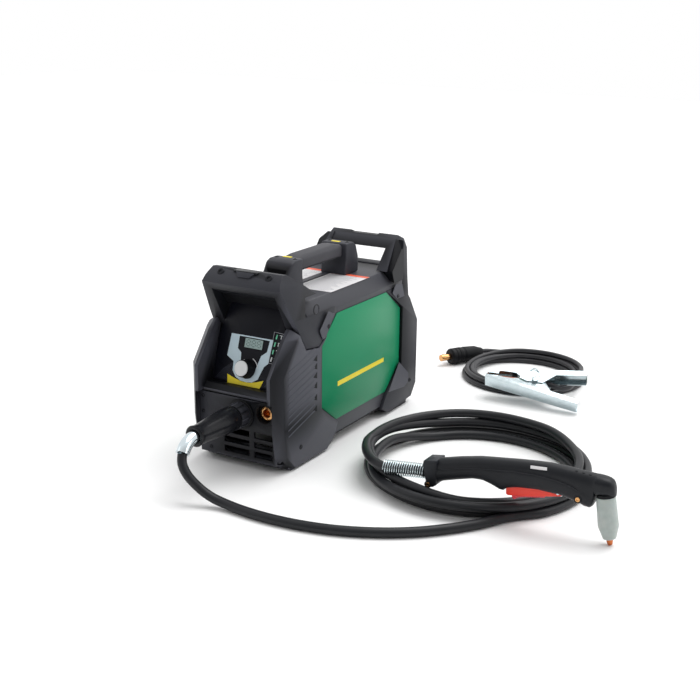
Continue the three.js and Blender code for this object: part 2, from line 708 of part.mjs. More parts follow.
function buildShell() {
  add(unit, 'front_bumper', frontBumper(), blackPlastic);
  add(unit, 'front_hood', frontHood(), blackPlastic);
  add(unit, 'main_shell', shell(), greyPlastic);
  add(unit, 'side_panel_right', sidePanel(1), greenPaint);
  add(unit, 'side_panel_left', sidePanel(-1), greenPaint);
  add(unit, 'rear_bumper', rearBumper(), blackPlastic);
  add(unit, 'base_tray', baseTray(), steel);
  add(unit, 'handle_post_front', handlePost(true), blackPlastic);
  add(unit, 'handle_post_rear', handlePost(false), blackPlastic);
  add(unit, 'handle_grip', handleGrip(), gripRubber);
}

function buildFront() {
  add(unit, 'control_panel', controlPanel(), darkPlastic);
  add(unit, 'display_window', displayWindow(), glass);
  add(unit, 'status_lens', statusLens(), white);
  add(unit, 'output_knob', knob(), darkPlastic);
  add(unit, 'control_board', controlBoard(), boardGreen);
  add(unit, 'front_plate', frontPlate(), darkPlastic);
  add(unit, 'work_socket_insulator', workInsulator(), darkPlastic);
  add(unit, 'work_socket', workBrass(), brass);
  add(unit, 'torch_socket', torchSocket(), darkPlastic);
  add(unit, 'torch_coupling_nut', couplingNut(), darkPlastic);
}

function buildRear() {
  add(unit, 'rear_panel', rearPanel(), darkPlastic);
  add(unit, 'mains_gland', cableGland(), darkPlastic);
  add(unit, 'air_inlet', airInlet(), brass);
  add(unit, 'switch_housing', switchHousing(), darkPlastic);
  add(unit, 'power_switch', switchRocker(), redPlastic);
  add(unit, 'fan_frame', fanFrame(), darkPlastic);
  add(unit, 'fan_rotor', fanRotor(), darkPlastic);
}

function buildInside() {
  add(unit, 'heat_sink', heatSink(), aluminium);
  add(unit, 'power_board', box(-64, 64, -60, 120, 112, 114), boardGreen);
  add(unit, 'transformer', transformer(), darkPlastic);
  add(unit, 'solenoid_valve', solenoidValve(), brass);
}

function buildTorch() {
  torch.position.set(...torchTail);
  torch.rotation.z = THREE.MathUtils.degToRad(torchYaw);
  add(torch, 'torch_shell_right', torchShell(-1), blackPlastic);
  add(torch, 'torch_shell_left', torchShell(1), blackPlastic);
  add(torch, 'torch_collar', torchCollar(), blackPlastic);
  add(torch, 'torch_trigger', trigger(), redPlastic);
  add(torch, 'trigger_pin', triggerPin(), steel);
  add(torch, 'trigger_release', triggerRelease(), safetyPlastic);
  add(torch, 'torch_switch', microSwitch(), darkPlastic);
  add(torch, 'torch_head', torchHead(), brass);
  add(torch, 'shield_cup', shieldCup(), cupCeramic);
  add(torch, 'cutting_tip', cuttingTip(), copper);
  add(torch, 'electrode', electrode(), copper);
}

function buildLeads() {
  add(leads, 'lead_boot', leadBoot(), rubber);
  add(leads, 'lead_sleeve', leadSleeve(), steel);
  add(leads, 'torch_spring', coilSpring(springStart, springEnd, 10.6, 2.4, 18), steel);
  const gap = clearance;
  add(leads, 'torch_lead', cut(tube(leadRoute, leadDiameter, 40), leadCoilSolid(gap)), rubber);
  add(leads, 'torch_lead_coil', leadCoilSolid(0), rubber);
  add(leads, 'torch_lead_end', cut(tube(leadEndRoute, leadDiameter, 20), leadCoilSolid(gap)), rubber);
  add(leads, 'work_lead_coil', workCoilSolid(0), rubber);
  add(leads, 'work_plug_sleeve', plugSleeve(), rubber);
  add(leads, 'work_plug_pin', plugPin(), brass);
  add(leads, 'work_lead_start', cut(tube(plugCordRoute(), workLeadDiameter, 12), workCoilSolid(gap)), rubber);
  add(leads, 'work_lead_end', cut(tube(clampCordRoute(), workLeadDiameter, 26), workCoilSolid(gap)), rubber);
}

function buildClamp() {
  add(clamp, 'clamp_arm_fixed', clampArm(1, 12.3, 1.5), steel);
  add(clamp, 'clamp_arm_moving', clampArm(-1, 10.4, 1.4), steel);
  add(clamp, 'clamp_pivot', clampPivotPin(), steel);
  add(clamp, 'clamp_spring', clampSpring(), steel);
  add(clamp, 'jaw_contact', box(-91.5, -70, 0.3, 7.4, -6, 6), copper);
  add(clamp, 'lug_bolt', lugBolt(), steel);
  add(clamp, 'copper_braid', copperBraid(), copper);
}

buildShell();
buildFront();
buildRear();
buildInside();
buildTorch();
buildLeads();
buildClamp();

// the origin is on the floor, below the middle of the box round unit, torch and clamp
root.updateMatrixWorld(true);
const bounds = new THREE.Box3();
for (const group of [unit, torch, clamp]) bounds.expandByObject(group, true);
const middle = bounds.getCenter(new THREE.Vector3());
root.position.set(-middle.x, -middle.y, 0);

export default root;
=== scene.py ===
# Plasma cutter unit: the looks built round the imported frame.
import bpy
import math
import random
from mathutils import Matrix, Vector


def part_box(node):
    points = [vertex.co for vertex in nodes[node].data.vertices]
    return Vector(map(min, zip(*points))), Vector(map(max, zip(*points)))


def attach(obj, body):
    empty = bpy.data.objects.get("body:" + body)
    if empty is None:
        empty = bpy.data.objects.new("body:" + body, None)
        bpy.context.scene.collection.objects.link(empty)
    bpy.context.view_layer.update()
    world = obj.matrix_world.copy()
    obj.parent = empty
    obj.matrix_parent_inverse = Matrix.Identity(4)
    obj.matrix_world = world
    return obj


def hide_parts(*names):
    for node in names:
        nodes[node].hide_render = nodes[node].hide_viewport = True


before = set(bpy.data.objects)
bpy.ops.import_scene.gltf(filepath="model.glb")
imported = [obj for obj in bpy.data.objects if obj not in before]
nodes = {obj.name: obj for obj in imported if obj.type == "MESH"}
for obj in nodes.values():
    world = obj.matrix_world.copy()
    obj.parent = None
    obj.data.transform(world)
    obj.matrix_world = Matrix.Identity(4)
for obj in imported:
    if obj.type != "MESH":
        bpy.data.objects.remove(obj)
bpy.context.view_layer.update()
random.seed(7)

# places on the power unit are given in millimetres from its own middle, floor and foot line
rearLow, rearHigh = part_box("rear_bumper")
unitMiddle = (rearLow.x + rearHigh.x) / 2
guardBack = 0.255
unitBack = rearHigh.y - guardBack


def unitPoint(x, y, z):
    return Vector((unitMiddle + x / 1000, unitBack + y / 1000, z / 1000))


unitFrame = Matrix.Translation((unitMiddle, unitBack, 0)) @ Matrix.Scale(0.001, 4)
print("frame loaded")

# ---- camera, floor and light ----
cameraSet = {"place": (0.777569, -1.739183, 0.725236), "azimuth": 30.06, "elevation": 16.623,
             "roll": 0.731, "lens": 61.714, "sensor": 36, "reach": 60}


def makeCamera():
    data = bpy.data.cameras.new("camera")
    data.lens = cameraSet["lens"]
    data.sensor_width = cameraSet["sensor"]
    data.clip_end = cameraSet["reach"]
    camera = bpy.data.objects.new("camera", data)
    bpy.context.scene.collection.objects.link(camera)
    azimuth, elevation, roll = (math.radians(cameraSet[k]) for k in ("azimuth", "elevation", "roll"))
    turn = (Matrix.Rotation(azimuth, 4, "Z") @ Matrix.Rotation(math.pi / 2 - elevation, 4, "X")
            @ Matrix.Rotation(roll, 4, "Z"))
    camera.matrix_world = Matrix.Translation(cameraSet["place"]) @ turn
    bpy.context.scene.camera = camera


def makeLight(name, place, target, size, power):
    data = bpy.data.lights.new(name, "AREA")
    data.shape = "DISK"
    data.size = size
    data.energy = power
    lamp = bpy.data.objects.new(name, data)
    bpy.context.scene.collection.objects.link(lamp)
    aim = (Vector(target) - Vector(place)).to_track_quat("-Z", "Y").to_matrix().to_4x4()
    lamp.matrix_world = Matrix.Translation(place) @ aim


lightSet = {"overhead": 1.7, "spread": 44, "from": (0.16, 0.42, 1)}
softboxes = (("leftSoftbox", (-2.2, -1.6, 1.3), (-0.2, 0, 0.15), 1.5, 2),
             ("rightSoftbox", (2.3, 0.5, 1.3), (0, 0, 0.15), 1.2, 8))
coveSet = {"floor": 14, "ahead": (-0.42, 0.74, 0.52), "fade": (-0.75, 0.3), "strength": (0.12, 1.0)}


rangeKeys = ("From Min", "From Max", "To Min", "To Max")


def makeStage():
    deselect()
    bpy.ops.mesh.primitive_plane_add(size=coveSet["floor"], location=(0, 0, 0))
    floor = bpy.context.object
    floor.name = "floor"
    floor.data.materials.append(paper)
    world = bpy.data.worlds.new("studio")
    bpy.context.scene.world = world
    world.use_nodes = True
    tree = world.node_tree
    # a white cove on one side that falls off to dimmer walls, so metal has something to show
    ray = node(tree, "ShaderNodeTexCoord").outputs["Generated"]
    ahead = node(tree, "ShaderNodeVectorMath", {"operation": "DOT_PRODUCT"}, {1: coveSet["ahead"]}, {0: ray})
    level = node(tree, "ShaderNodeMapRange", values=dict(zip(rangeKeys,
            coveSet["fade"] + coveSet["strength"])), links={"Value": ahead.outputs["Value"]})
    tree.links.new(level.outputs["Result"], tree.nodes["Background"].inputs["Strength"])
    tree.nodes["Background"].inputs["Color"].default_value = (1, 1, 1, 1)
    sky = bpy.data.lights.new("overhead", "SUN")
    sky.energy = lightSet["overhead"]
    sky.angle = math.radians(lightSet["spread"])
    lamp = bpy.data.objects.new("overhead", sky)
    bpy.context.scene.collection.objects.link(lamp)
    lamp.matrix_world = Vector(lightSet["from"]).to_track_quat("Z", "Y").to_matrix().to_4x4()
    for softbox in softboxes:
        makeLight(*softbox)
    bpy.context.scene.view_settings.view_transform = "Standard"


def deselect():
    if bpy.context.object and bpy.context.object.mode != "OBJECT":
        bpy.ops.object.mode_set(mode="OBJECT")
    bpy.ops.object.select_all(action="DESELECT")


# ---- materials ----
def linear(hexColour):
    parts = [int(hexColour[i:i + 2], 16) / 255 for i in (1, 3, 5)]
    return tuple(c / 12.92 if c <= 0.04045 else ((c + 0.055) / 1.055) ** 2.4 for c in parts) + (1,)


def node(tree, kind, settings=None, values=None, links=None):
    made = tree.nodes.new(kind)
    for key, value in (settings or {}).items():
        setattr(made, key, value)
    for key, value in (values or {}).items():
        made.inputs[key].default_value = value
    for key, source in (links or {}).items():
        tree.links.new(source, made.inputs[key])
    return made


def startMaterial(name, **shader):
    made = bpy.data.materials.new(name)
    made.use_nodes = True
    tree = made.node_tree
    body = tree.nodes["Principled BSDF"]
    for key, value in shader.items():
        body.inputs[key.replace("_", " ")].default_value = value
    return made, tree, body


# how fine the patches and grain are, how deep the grain's relief, and how sharp an edge has to be to wear
grainSet = {"patchDetail": 4.0, "grainDetail": 2.0, "relief": 0.5, "wearFrom": 0.52, "wearFull": 0.6}


def surface(name, colour, second, grainMm, patchMm, rough, bumpMm, stretch=(1, 1, 1), wear=None, **shader):
    made, tree, body = startMaterial(name, **shader)
    place = node(tree, "ShaderNodeTexCoord").outputs["Object"]
    turned = node(tree, "ShaderNodeMapping", values={"Scale": stretch}, links={"Vector": place})
    patch = node(tree, "ShaderNodeTexNoise", values={"Scale": 1000 / patchMm,
            "Detail": grainSet["patchDetail"]}, links={"Vector": turned.outputs[0]})
    grain = node(tree, "ShaderNodeTexNoise", values={"Scale": 1000 / grainMm,
            "Detail": grainSet["grainDetail"]}, links={"Vector": turned.outputs[0]})
    tint = node(tree, "ShaderNodeMix", {"data_type": "RGBA"},
                {"A": linear(colour), "B": linear(second)}, {"Factor": patch.outputs["Fac"]})
    tone = tint.outputs["Result"]
    if wear:
        edge = node(tree, "ShaderNodeNewGeometry")
        sharp = node(tree, "ShaderNodeMapRange", values={"From Min": grainSet["wearFrom"],
                "From Max": grainSet["wearFull"]}, links={"Value": edge.outputs["Pointiness"]})
        worn = node(tree, "ShaderNodeMix", {"data_type": "RGBA"}, {"B": linear(wear)},
                    {"A": tone, "Factor": sharp.outputs["Result"]})
        tone = worn.outputs["Result"]
    tree.links.new(tone, body.inputs["Base Color"])
    low, high = rough
    shine = node(tree, "ShaderNodeMapRange", values={"To Min": low, "To Max": high},
                 links={"Value": grain.outputs["Fac"]})
    tree.links.new(shine.outputs["Result"], body.inputs["Roughness"])
    if bumpMm:
        relief = node(tree, "ShaderNodeBump", values={"Strength": grainSet["relief"],
                "Distance": bumpMm / 1000}, links={"Height": grain.outputs["Fac"]})
        tree.links.new(relief.outputs["Normal"], body.inputs["Normal"])
    return made


# spark-textured black ABS: a fine even grain that breaks the highlight, edges rubbed a little paler
blackAbs = surface("blackMouldedAbs", "#141519", "#1a1b20", 0.9, 40, (0.4, 0.54), 0.05, wear="#494a52",
                   Specular_IOR_Level=0.22)
# dark grey ABS of the cover, a shade paler than the guards
greyAbs = surface("greyMouldedAbs", "#242428", "#2c2c31", 0.9, 45, (0.4, 0.53), 0.05, wear="#55565d",
                  Specular_IOR_Level=0.28)
# deep black PA for grilles and sockets, low sheen; on inner walls it is painted shade: this deeper black
# stands for the shade in the guard's vent openings, inside the handle slot and under the hood lip
blackNylonAndShade = surface("blackNylonAndShade", "#0a0b0e", "#121317", 0.7, 25, (0.48, 0.62), 0.04,
                     Specular_IOR_Level=0.2)
# glossy black moulded boot: tight highlights
glossBoot = surface("blackGlossPvc", "#0e0f13", "#16171c", 1.2, 30, (0.24, 0.34), 0.02,
                    Specular_IOR_Level=0.3)
# polyester overlay film: almost navy, smooth with a faint texture
overlayFilm = surface("panelFilm", "#0c0d14", "#11121b", 0.6, 22, (0.36, 0.46), 0.02,
                      Specular_IOR_Level=0.18)
# green powder coat: slight orange peel under a semi-gloss skin
greenCoat = surface("greenPowderCoat", "#0a8257", "#0d885c", 2.6, 160, (0.3, 0.38), 0.04,
                    Specular_IOR_Level=0.22)
# soft-touch thermoplastic rubber of the carry grip
gripRubber = surface("softTouchRubber", "#3c3c41", "#47474c", 1.1, 30, (0.55, 0.68), 0.08,
                     Specular_IOR_Level=0.3)
# extruded rubber jacket: semi-matte with a fine drawn texture and dusty patches
leadRubber = surface("rubberJacket", "#18191c", "#232428", 1.4, 28, (0.34, 0.48), 0.06,
                     Specular_IOR_Level=0.3)
# thinner work lead jacket, a little greyer
workRubber = surface("workLeadJacket", "#232326", "#303034", 1.2, 24, (0.34, 0.48), 0.05,
                     Specular_IOR_Level=0.36)
# torch body: glass-filled nylon, blue-black, fine grain
torchNylon = surface("glassFilledNylon", "#14161a", "#1b1d22", 0.8, 26, (0.36, 0.48), 0.05,
                     wear="#303339", Specular_IOR_Level=0.26)
# trigger: bright orange-red acetal
triggerRed = surface("redAcetal", "#e62e1c", "#f2402b", 2.0, 18, (0.28, 0.38), 0.02,
                     Subsurface_Weight=0.05, Subsurface_Scale=0.002)
# safety catch: softer pink-red polycarbonate
catchRed = surface("catchPolycarbonate", "#d8323f", "#e2505a", 2.0, 14, (0.22, 0.32), 0.02,
                   Subsurface_Weight=0.1, Subsurface_Scale=0.003)
# shield cup: pale grey-green, matte with faint mottling
cupShell = surface("firedCupShell", "#9aa5a1", "#b7bfbb", 1.1, 9, (0.32, 0.46), 0.06,
                   Subsurface_Weight=0.1, Subsurface_Scale=0.003)
# zinc-plated steel: bluish silver with faint cloudy plating
zincSteel = surface("zincPlatedSteel", "#b9c8cd", "#dfe9ec", 1.3, 10, (0.16, 0.32), 0.03, Metallic=1.0)
# polished nickel sleeve: long clean highlights
nickel = surface("polishedNickel", "#c9d6dc", "#e6eef1", 3.0, 30, (0.07, 0.14), 0.0, Metallic=1.0)
# black oxide screws
blackOxide = surface("blackOxideSteel", "#1c1d20", "#2b2c30", 0.6, 6, (0.3, 0.42), 0.02, Metallic=0.85)
# turned brass
turnedBrass = surface("turnedBrass", "#c98f55", "#e3b27c", 0.8, 8, (0.18, 0.3), 0.02, Metallic=1.0)
# turned copper
turnedCopper = surface("turnedCopper", "#b9602f", "#d1825a", 0.7, 6, (0.2, 0.34), 0.02, Metallic=1.0)
# extruded aluminium fins
finAluminium = surface("extrudedAluminium", "#a8adb1", "#bcc1c4", 0.8, 14, (0.3, 0.42), 0.02,
                       stretch=(1, 0.1, 1), Metallic=1.0)
# varnished laminated core
coreSteel = surface("varnishedCore", "#4a4340", "#5c544f", 0.6, 12, (0.4, 0.6), 0.04, Metallic=0.6)
# solder mask over copper
solderMask = surface("solderMask", "#17512d", "#1f6238", 1.4, 10, (0.3, 0.42), 0.02)
# printed paler blue-white frame of the overlay
paleInk = surface("paleBlueInk", "#bdd3de", "#cfe0e8", 0.6, 20, (0.36, 0.46), 0.0)
yellowInk = surface("yellowInk", "#e6cf0c", "#efdb22", 0.6, 20, (0.36, 0.46), 0.0)
greyInk = surface("greyInk", "#9a9da3", "#a9acb1", 0.6, 20, (0.4, 0.5), 0.0)
faintInk = surface("faintInk", "#2a2d38", "#30333f", 0.6, 20, (0.34, 0.42), 0.0)
# white print; the same white also paints the highlight arc beside the knob
whiteInkAndHighlight = surface("whiteInkAndHighlight", "#dfe2e4", "#eceeee", 0.6, 20, (0.4, 0.5), 0.0)
# vinyl label: satin white paper-like film with a little dirt
whiteVinyl = surface("whiteVinyl", "#d6d4d6", "#e7e5e6", 0.8, 26, (0.38, 0.5), 0.0)
redVinyl = surface("redVinyl", "#e4502c", "#ee6440", 0.8, 20, (0.38, 0.5), 0.0)
mintLens = surface("mintLens", "#5fc79a", "#86dcb8", 0.8, 3, (0.18, 0.26), 0.0)
paleLens = surface("paleLens", "#cfd6d6", "#e2e6e6", 0.8, 3, (0.18, 0.26), 0.0)
# grey-green reflective display glass and its unlit segments
displayGlass = surface("displayGlass", "#8fa6a4", "#9fb4b1", 0.8, 12, (0.1, 0.16), 0.0)
segmentGrey = surface("segmentGrey", "#5f7371", "#6a7f7c", 0.8, 12, (0.2, 0.3), 0.0)
# satin aluminium cap of the knob, brushed in rings too fine to see
knobCap = surface("satinCap", "#d3d6d7", "#e2e4e4", 0.5, 12, (0.3, 0.4), 0.01, Metallic=0.2)
paper = surface("paleFloor", "#f3f3f3", "#f6f6f6", 6, 400, (0.6, 0.7), 0.0)
print("materials made")

# ---- modelling helpers: a primitive, shaped in edit mode, finished with applied modifiers ----
def chosen(obj):
    deselect()
    bpy.context.view_layer.objects.active = obj
    obj.select_set(True)


def applyModifier(obj, kind, **settings):
    chosen(obj)
    modifier = obj.modifiers.new(kind, kind)
    for key, value in settings.items():
        setattr(modifier, key, value)
    bpy.ops.object.modifier_apply(modifier=modifier.name)


def editMesh(obj, *steps):
    chosen(obj)
    bpy.ops.object.mode_set(mode="EDIT")
    bpy.ops.mesh.select_all(action="SELECT")
    for step in steps:
        step()
    bpy.ops.object.mode_set(mode="OBJECT")


def smooth(obj, degrees):
    chosen(obj)
    bpy.ops.object.shade_smooth_by_angle(angle=math.radians(degrees))


softDegrees = 40


def soften(obj, widthMm, segments=2, degrees=28):
    applyModifier(obj, "BEVEL", width=widthMm / 1000, segments=segments, limit_method="ANGLE",
                  angle_limit=math.radians(degrees), use_clamp_overlap=True)
    smooth(obj, softDegrees)
    return obj


def finishPiece(obj, material, body="unit", replaced=()):
    obj.data.materials.clear()
    obj.data.materials.append(material)
    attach(obj, body)
    if replaced:
        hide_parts(*replaced)
    return obj


def sideTag(side):
    return "Right" if side > 0 else "Left"


# an outline in two axes, drawn out along the third; place is the frame the millimetres are in
axisOrder = {"X": (2, 0, 1), "Y": (0, 2, 1), "Z": (0, 1, 2)}


def prism(name, outline, axis, low, high, place=None):
    deselect()
    bpy.ops.mesh.primitive_circle_add(vertices=len(outline), radius=1, fill_type="NGON")
    obj = bpy.context.object
    obj.name = name
    i, j, k = axisOrder[axis]
    for vertex, (a, b) in zip(obj.data.vertices, outline):
        vertex.co = Vector(((a, b, low)[i], (a, b, low)[j], (a, b, low)[k]))
    rise = high - low
    step = Vector(((0, 0, rise)[i], (0, 0, rise)[j], (0, 0, rise)[k]))
    editMesh(obj, lambda: bpy.ops.mesh.extrude_region_move(TRANSFORM_OT_translate={"value": step}),
             lambda: bpy.ops.mesh.normals_make_consistent(inside=False))
    obj.data.transform(place or unitFrame)
    return obj


def block(name, x0, x1, y0, y1, z0, z1, place=None):
    return prism(name, [(x0, y0), (x1, y0), (x1, y1), (x0, y1)], "Z", z0, z1, place)


def aimed(at, direction):
    turn = Vector(direction).normalized().to_track_quat("Z", "Y").to_matrix().to_4x4()
    return Matrix.Translation(at) @ turn


# welds and slivers: spun and lofted shapes are still in millimetres here, frame solids in metres
weldSet = {"spun": 0.0005, "sliver": 0.0001, "loft": 0.001, "frame": 0.00001, "flatDegrees": 1.5}


# a closed (radius, height) profile spun round an axis
def spun(name, profile, at, direction, steps=40, place=None):
    deselect()
    bpy.ops.mesh.primitive_circle_add(vertices=len(profile), radius=1, fill_type="NOTHING")
    obj = bpy.context.object
    obj.name = name
    for vertex, (radius, height) in zip(obj.data.vertices, profile):
        vertex.co = (radius, 0, height)
    editMesh(obj, lambda: bpy.ops.mesh.spin(steps=steps, angle=2 * math.pi, center=(0, 0, 0),
            axis=(0, 0, 1)), lambda: bpy.ops.mesh.remove_doubles(threshold=weldSet["spun"]),
             lambda: bpy.ops.mesh.dissolve_degenerate(threshold=weldSet["sliver"]),
             lambda: bpy.ops.mesh.normals_make_consistent(inside=False))
    obj.data.transform((place or unitFrame) @ aimed(at, direction))
    return obj


def carve(obj, *cutters, operation="DIFFERENCE"):
    for cutter in cutters:
        applyModifier(obj, "BOOLEAN", object=cutter, operation=operation, solver="EXACT")
        bpy.data.objects.remove(cutter)
    return obj


def joined(name, pieces):
    deselect()
    for piece in pieces:
        piece.select_set(True)
    bpy.context.view_layer.objects.active = pieces[0]
    bpy.ops.object.join()
    pieces[0].name = name
    return pieces[0]


# a fused copy of a frame solid, to round and carve
def fromFrame(nodeName, name):
    source = nodes[nodeName]
    made = bpy.data.objects.new(name, source.data.copy())
    bpy.context.scene.collection.objects.link(made)
    made.data.materials.clear()
    editMesh(made, lambda: bpy.ops.mesh.remove_doubles(threshold=weldSet["frame"]),
             lambda: bpy.ops.mesh.dissolve_limited(angle_limit=math.radians(weldSet["flatDegrees"])))
    return made


# a frame solid with its edges rounded, in place of its own node
def fitted(nodeName, name, material, edge, body="unit", segments=2):
    piece = soften(fromFrame(nodeName, name), edge, segments)
    return finishPiece(piece, material, body, [nodeName])


# a black moulding of the unit, with its edges rounded
def moulded(piece, edge, segments=2, replaced=()):
    return finishPiece(soften(piece, edge, segments), blackAbs, "unit", replaced)


# a plate with its outline in the side view, between two distances from the middle
def sideSlab(name, outline, side, near, far):
    return prism(name, outline, "X", *sorted((side * near, side * far)))


def onFrame(nodeName, material):
    mesh = nodes[nodeName].data
    mesh.materials.clear()
    mesh.materials.append(material)


# rings of points skinned into one closed body
def lofted(name, rings, place=None):
    count, rows = len(rings[0]), len(rings)
    deselect()
    bpy.ops.mesh.primitive_grid_add(x_subdivisions=count, y_subdivisions=rows - 1, size=1)
    obj = bpy.context.object
    obj.name = name
    for index, vertex in enumerate(obj.data.vertices):
        row, column = divmod(index, count + 1)
        vertex.co = rings[row][column % count]
    editMesh(obj, lambda: bpy.ops.mesh.remove_doubles(threshold=weldSet["loft"]),
             lambda: bpy.ops.mesh.select_all(action="DESELECT"), lambda: bpy.ops.mesh.select_non_manifold(),
             lambda: bpy.ops.mesh.fill_holes(sides=0), lambda: bpy.ops.mesh.select_all(action="SELECT"),
             lambda: bpy.ops.mesh.normals_make_consistent(inside=False))
    obj.data.transform(place or unitFrame)
    return obj


def curveThrough(points, steps=10):
    line = []
    last = len(points) - 1
    for i in range(last):
        p0, p1 = points[max(i - 1, 0)], points[i]
        p2, p3 = points[i + 1], points[min(i + 2, last)]
        for k in range(steps):
            t = k / steps
            line.append(0.5 * (2 * p1 + (p2 - p0) * t + (2 * p0 - 5 * p1 + 4 * p2 - p3) * t * t
                               + (3 * p1 - p0 - 3 * p2 + p3) * t ** 3))
    line.append(points[last])
    return line


def cordCurve(name, points, radius, material):
    data = bpy.data.curves.new(name, "CURVE")
    data.dimensions = "3D"
    data.bevel_depth = radius
    data.bevel_resolution = 5
    data.use_fill_caps = True
    line = data.splines.new("POLY")
    line.points.add(len(points) - 1)
    for spot, place in zip(line.points, points):
        spot.co = (*place, 1)
    line.use_smooth = True
    obj = bpy.data.objects.new(name, data)
    bpy.context.scene.collection.objects.link(obj)
    data.materials.append(material)
    return obj


# a round wire or strand along a line, as a mesh
def wire(name, points, radius, material, resolution=5):
    made = cordCurve(name, points, radius, material)
    made.data.bevel_resolution = resolution
    chosen(made)
    bpy.ops.object.convert(target="MESH")
    return made


def eased(keys, t):
    for (t0, *low), (t1, *high) in zip(keys, keys[1:]):
        if t <= t1:
            s = max(0, (t - t0) / (t1 - t0))
            s = s * s * (3 - 2 * s)
            return [a + (b - a) * s for a, b in zip(low, high)]
    return list(keys[-1][1:])


# ---- the two leads ----
torchLead = {"diameter": 0.0146, "coilMiddle": (334.5, -19), "radii": (165.1, 170), "turn": 30,
             "firstAngle": -34, "turns": 3.611, "steps": 60}
torchLeadIn = [(8, -340.4, 73.4), (12, -346, 60), (23, -347, 44), (41, -342, 26), (60, -338, 15),
               (82, -336, 9.6), (110, -338, 7.7), (140, -340, 7.5), (169, -340, 7.5), (209, -336, 7.5),
               (253, -326, 7.5), (292, -311, 7.5), (329, -291, 7.5), (363, -266, 7.5), (394, -235, 7.5),
               (423, -198, 7.5), (448, -156, 7.5)]
torchLeadOut = [(164, -55, 38.6), (171, -76, 41.5), (183, -101, 45), (199, -128, 47.5), (222, -152, 46),
                (248, -163, 44.2), (275, -160, 45.4), (300, -154, 46.4), (329, -151, 46.8)]
# turn number, share of the mean radius, height of the lead's middle
torchLay = [(0, 1.049, 7.5), (0.6, 1.049, 7.5), (0.8, 0.951, 7.5), (1.1, 0.945, 7.5), (1.3, 0.925, 7.5),
            (1.47, 0.92, 7.5), (1.6, 0.951, 22.3), (1.8, 1.045, 22.3), (2.1, 1.04, 22.6), (2.45, 1.02, 24),
            (2.6, 1.04, 33), (2.7, 1.0, 37), (2.8, 0.95, 29), (2.9, 0.95, 22.5), (3.05, 0.95, 22.6),
            (3.2, 0.965, 33.5), (3.3, 0.99, 38.2), (3.45, 1.055, 38), (3.611, 1.045, 38)]
workLead = {"diameter": 0.0096, "coilMiddle": (206, 487), "firstAngle": 110, "turns": 5.24, "steps": 48}
workLeadIn = [(78.8, 543.2, 16.6), (89.1, 561.5, 16.6), (110.3, 579.4, 14), (135.5, 591.5, 11)]
workLeadOut = [(320, 494, 23.4), (327, 455, 24), (330.5, 416, 23.6), (329.3, 401, 23.6), (323.1, 387.6, 25.4),
               (312.8, 377.3, 30.4), (296, 370.5, 36)]
# turn number, radius, height
workLay = [(0, 115.2, 5.1), (0.85, 115.2, 5.1), (1.0, 105.4, 5.1), (1.85, 105.4, 5.1), (2.0, 95.6, 5.1),
           (2.6, 95.6, 5.1), (2.8, 95.6, 14.2), (3.0, 100.3, 14.2), (3.85, 100.3, 14.2), (4.0, 110.2, 14.2),
           (4.75, 110.2, 14.2), (5.0, 106, 23.2), (5.24, 112, 22.5)]


def torchLeadPoints():
    points = [unitPoint(*p) for p in torchLeadIn]
    cx, cy = torchLead["coilMiddle"]
    a, b = torchLead["radii"]
    turn = math.radians(torchLead["turn"])
    count = int(torchLead["turns"] * torchLead["steps"])
    for i in range(count + 1):
        t = torchLead["turns"] * i / count
        share, z = eased(torchLay, t)
        angle = math.radians(torchLead["firstAngle"]) + 2 * math.pi * t - turn
        along, across = a * share * math.cos(angle), b * share * math.sin(angle)
        points.append(unitPoint(cx + along * math.cos(turn) - across * math.sin(turn),
                                cy + along * math.sin(turn) + across * math.cos(turn), z))
    points += [unitPoint(*p) for p in torchLeadOut]
    return curveThrough(points, 4)


def workLeadPoints():
    points = [unitPoint(*p) for p in workLeadIn]
    cx, cy = workLead["coilMiddle"]
    count = int(workLead["turns"] * workLead["steps"])
    for i in range(count + 1):
        t = workLead["turns"] * i / count
        radius, z = eased(workLay, t)
        angle = math.radians(workLead["firstAngle"]) - 2 * math.pi * t
        points.append(unitPoint(cx + radius * math.cos(angle), cy + radius * math.sin(angle), z))
    points += [unitPoint(*p) for p in workLeadOut]
    points += [clampFrame @ Vector(p) for p in ((0, 16, 0), (-25, 15.8, 0), (-46, 13, 0))]
    return curveThrough(points, 4)


clampFrame = unitFrame @ Matrix.Translation((281.6, 357, 34)) @ (Matrix.Rotation(math.radians(10), 4,
        "Z") @ Matrix.Rotation(math.radians(2.2), 4, "Y") @ Matrix.Rotation(math.radians(21), 4, "X"))
torchFrame = unitFrame @ Matrix.Translation((319, -151, 0)) @ Matrix.Rotation(math.radians(-0.4), 4, "Z")


def layLead(name, line, lead, material, replaced):
    cord = cordCurve(name, line, lead["diameter"] / 2, material)
    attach(cord, "unit")
    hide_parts(*replaced)


def makeLeads():
    layLead("torchLead", torchLeadPoints(), torchLead, leadRubber,
            ("torch_lead", "torch_lead_coil", "torch_lead_end"))
    layLead("workLead", workLeadPoints()[::-1], workLead, workRubber,
            ("work_lead_start", "work_lead_coil", "work_lead_end"))


makeCamera()
makeStage()
makeLeads()
print("camera and leads made")

# ---- screws ----
def screw(name, x, y, z, direction, size=4.2, material=None, place=None, body="unit"):
    head = spun(name, [(0, -1), (size, -1), (size, 0.2), (size * 0.9, 0.8), (size * 0.52, 0.9),
                       (size * 0.46, 0.8), (size * 0.42, -0.2), (0, -0.2)], (x, y, z), direction, 24, place)
    return finishPiece(head, material or blackOxide, body)


# ---- front guard, hood, cover and rear guard ----
guardSet = {"edge": 2.2, "ribCount": 11, "ribLow": 62, "ribPitch": 10.4, "ribRise": 0.27, "ribHalf": 1.3,
            "ribFace": (85.6, 86.8), "ribSpan": (-176, -99), "slotFace": (85.2, 86.25),
            "slotHeights": (169.7, 156.5, 141.5, 124.7, 104.5, 85.9)}


